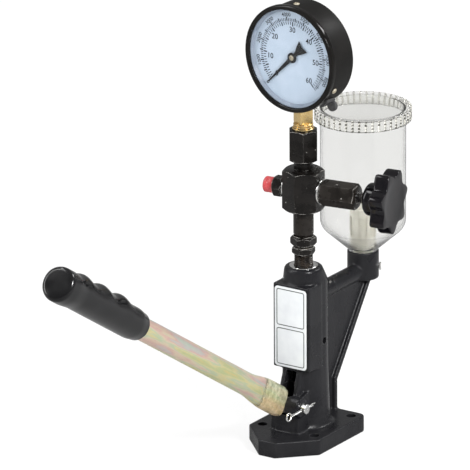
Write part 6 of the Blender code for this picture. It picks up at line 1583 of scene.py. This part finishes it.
def rubber_grip():
    even_steps = [i / GRIP_RINGS for i in range(GRIP_RINGS - 4)]
    end_steps = [0.974 + 0.026 * math.sin(math.radians(90) * i / 12) for i in range(13)]
    shares = sorted({0.0, 0.001, 0.003, 0.006, *even_steps, *end_steps})
    rings = []
    for share in shares:
        along = GRIP_START + (GRIP_END - GRIP_START) * share
        radius = grip_radius(along)
        bump = grip_bump(along)
        ring = []
        for point in lever_section(radius, radius, along):
            up = max(0, point.z / radius) ** 2
            ring.append(Vector((point.x * (1 + 0.06 * up), point.y, point.z + bump * up)))
        rings.append(ring)
    inside = [lever_section(GRIP_BORE, GRIP_BORE, along) for along in (TUBE_END + CLEAR, GRIP_START)]
    return skinned("rubber_grip", inside + rings)


# Smooth black rubber, shiny from the mould, with faint flow lines and finger marks.
polished_rubber = mottled(
    "polished_rubber", (0.008, 0.008, 0.009), 0.24, (350.0, 60.0),
    ((0.003, 0.003, 0.0035), (0.007, 0.007, 0.0075)),
    specular=0.35, shine=(0.10, 0.20), bump=(0.00008, 0.25),
)
finished(placed(rubber_grip(), LEVER), "lever", polished_rubber, "lever_grip")


# The pivot pin through the ears and its split pin, one bent wire: the eye stands out in front of
# the pin, and the two legs run back through it, one a little shorter than the other.
PIN_RADIUS = 0.00425
COTTER_X = 0.0204
COTTER_HOLE_RADIUS = 0.0017
EYE_Y = -0.0545
EYE_RADIUS = 0.0033
EYE_START = math.radians(24)
EYE_SWEEP = math.radians(312)
TAIL_Y = -0.0145
LEG_RISE = 0.0007
SPLIT_WIRE = 0.0007

pin_low, pin_high = moved_box("pivot_pin", PIN_AXIS)
head_start = -EAR_HALF_WIDTH - CLEAR
pin_profile = [
    (0, pin_high.z), (PIN_RADIUS, pin_high.z), (PIN_RADIUS, head_start), (pin_high.y, head_start),
    (pin_high.y, pin_low.z), (0, pin_low.z),
]
pin = placed(revolved("lever_pin", eased(pin_profile, 0.0006), 64), PIN_AXIS)
to_cotter = Matrix.Translation((COTTER_X, PIVOT.y, PIVOT.z)) @ BACKWARDS
cotter_hole = placed(cylinder("cotter_hole", COTTER_HOLE_RADIUS, -0.01, 0.01, 32), to_cotter)
finished(boolean(pin, "DIFFERENCE", cotter_hole), "frame", zinc_plating, "pivot_pin")

leg_start = EYE_Y + EYE_RADIUS + LEG_RISE
upper_leg = PIVOT.z + LEG_RISE
lower_leg = PIVOT.z - LEG_RISE
eye = arc((EYE_Y, PIVOT.z), EYE_RADIUS, EYE_START, EYE_SWEEP, 32)
side_route = [
    (TAIL_Y, upper_leg), (leg_start, upper_leg), *eye,
    (leg_start, lower_leg), (TAIL_Y - EYE_RADIUS, lower_leg),
]
split_pin = wire("split_pin", [(COTTER_X, y, z) for y, z in side_route], SPLIT_WIRE)
finished(split_pin, "frame", zinc_plating, "cotter_pin", sharp=math.radians(60))


# The studio: a white floor that runs out of sight, a white surround, and four soft lamps. The
# camera stands to the right of the lever, a little above the object, with a long lens.
CAMERA_TURN = math.radians(33.49)
CAMERA_RISE = math.radians(19.16)
CAMERA_DISTANCE = 8.0
PICTURE = 470
PIXELS_PER_METRE = 1183.2
ORIGIN_PIXEL = (303.0, 437.2)
CAMERA_ROLL = math.radians(-0.29)
FLOOR_REACH = (-6, 6)
LAMP_AIM = Vector((0, 0, 0.18))


def floor_material():
    """White paper: bright to the camera, greyer in reflections, and shaded a little by the object."""
    material, tree, shader = new_material("white_floor", (0.9, 0.9, 0.9), 0.9)
    path = tree.nodes.new("ShaderNodeLightPath").outputs
    paper = mixed_color(tree, path["Is Glossy Ray"], (0.9, 0.9, 0.9), (0.34, 0.34, 0.34))
    feed(tree, shader, "Base Color", paper)
    seen = math_node(tree, "MAXIMUM", path["Is Camera Ray"], path["Is Transmission Ray"])
    glow = node(tree, "ShaderNodeEmission", Color=(1, 1, 1, 1), Strength=1.0)
    blend = node(tree, "ShaderNodeMixShader", Fac=math_node(tree, "MULTIPLY", seen, 0.8))
    tree.links.new(shader.outputs[0], blend.inputs[1])
    tree.links.new(glow.outputs[0], blend.inputs[2])
    tree.links.new(blend.outputs[0], tree.nodes["Material Output"].inputs["Surface"])
    return material


floor = block("floor", FLOOR_REACH, FLOOR_REACH, (-0.02, -0.0002))
floor.data.materials.append(floor_material())

world = bpy.data.worlds.new("studio")
bpy.context.scene.world = world
world.use_nodes = True
sky = world.node_tree
sky_path = sky.nodes.new("ShaderNodeLightPath").outputs
straight = math_node(sky, "MAXIMUM", sky_path["Is Camera Ray"], sky_path["Is Transmission Ray"])
straight = math_node(sky, "MAXIMUM", straight, sky_path["Is Glossy Ray"])
backdrop = sky.nodes["Background"]
backdrop.inputs["Color"].default_value = (1, 1, 1, 1)
lit = ranged(sky, straight, 0.0, 1.0, 0.55, 1.0)
mirrored = math_node(sky, "MULTIPLY", sky_path["Is Glossy Ray"], 0.66)
feed(sky, backdrop, "Strength", math_node(sky, "SUBTRACT", lit, mirrored))

for name, place, width, height, watts in (
    ("key_lamp", (1.9, -0.7, 1.5), 0.6, 0.6, 74),
    ("side_lamp", (-1.6, -1.4, 1.3), 0.5, 1.9, 29),
    ("strip_lamp", (-1.17, -0.355, 2.27), 2.0, 0.25, 15),
    ("back_lamp", (1.0, 1.6, 1.8), 0.6, 0.6, 22),
):
    lamp = bpy.data.lights.new(name, "AREA")
    lamp.shape = "RECTANGLE"
    lamp.size = width
    lamp.size_y = height
    lamp.energy = watts
    stand = scene_object(name, lamp)
    stand.location = place
    stand.rotation_euler = (LAMP_AIM - Vector(place)).to_track_quat("-Z", "Y").to_euler()

back = Vector(polar(math.cos(CAMERA_RISE), CAMERA_TURN - math.pi / 2, math.sin(CAMERA_RISE)))
right = Vector(polar(1, CAMERA_TURN, 0))
up = back.cross(right)
middle = PICTURE / 2
aim = (right * (middle - ORIGIN_PIXEL[0]) + up * (ORIGIN_PIXEL[1] - middle)) / PIXELS_PER_METRE
camera = scene_object("camera", bpy.data.cameras.new("camera"))
camera.data.lens = camera.data.sensor_width / 2 * CAMERA_DISTANCE / (middle / PIXELS_PER_METRE)
camera.data.clip_end = 100
camera.location = aim + back * CAMERA_DISTANCE
camera.rotation_mode = "QUATERNION"
roll = Matrix.Rotation(CAMERA_ROLL, 4, "Z").to_quaternion()
camera.rotation_quaternion = (-back).to_track_quat("-Z", "Y") @ roll
bpy.context.scene.camera = camera
bpy.context.scene.view_settings.view_transform = "Standard"
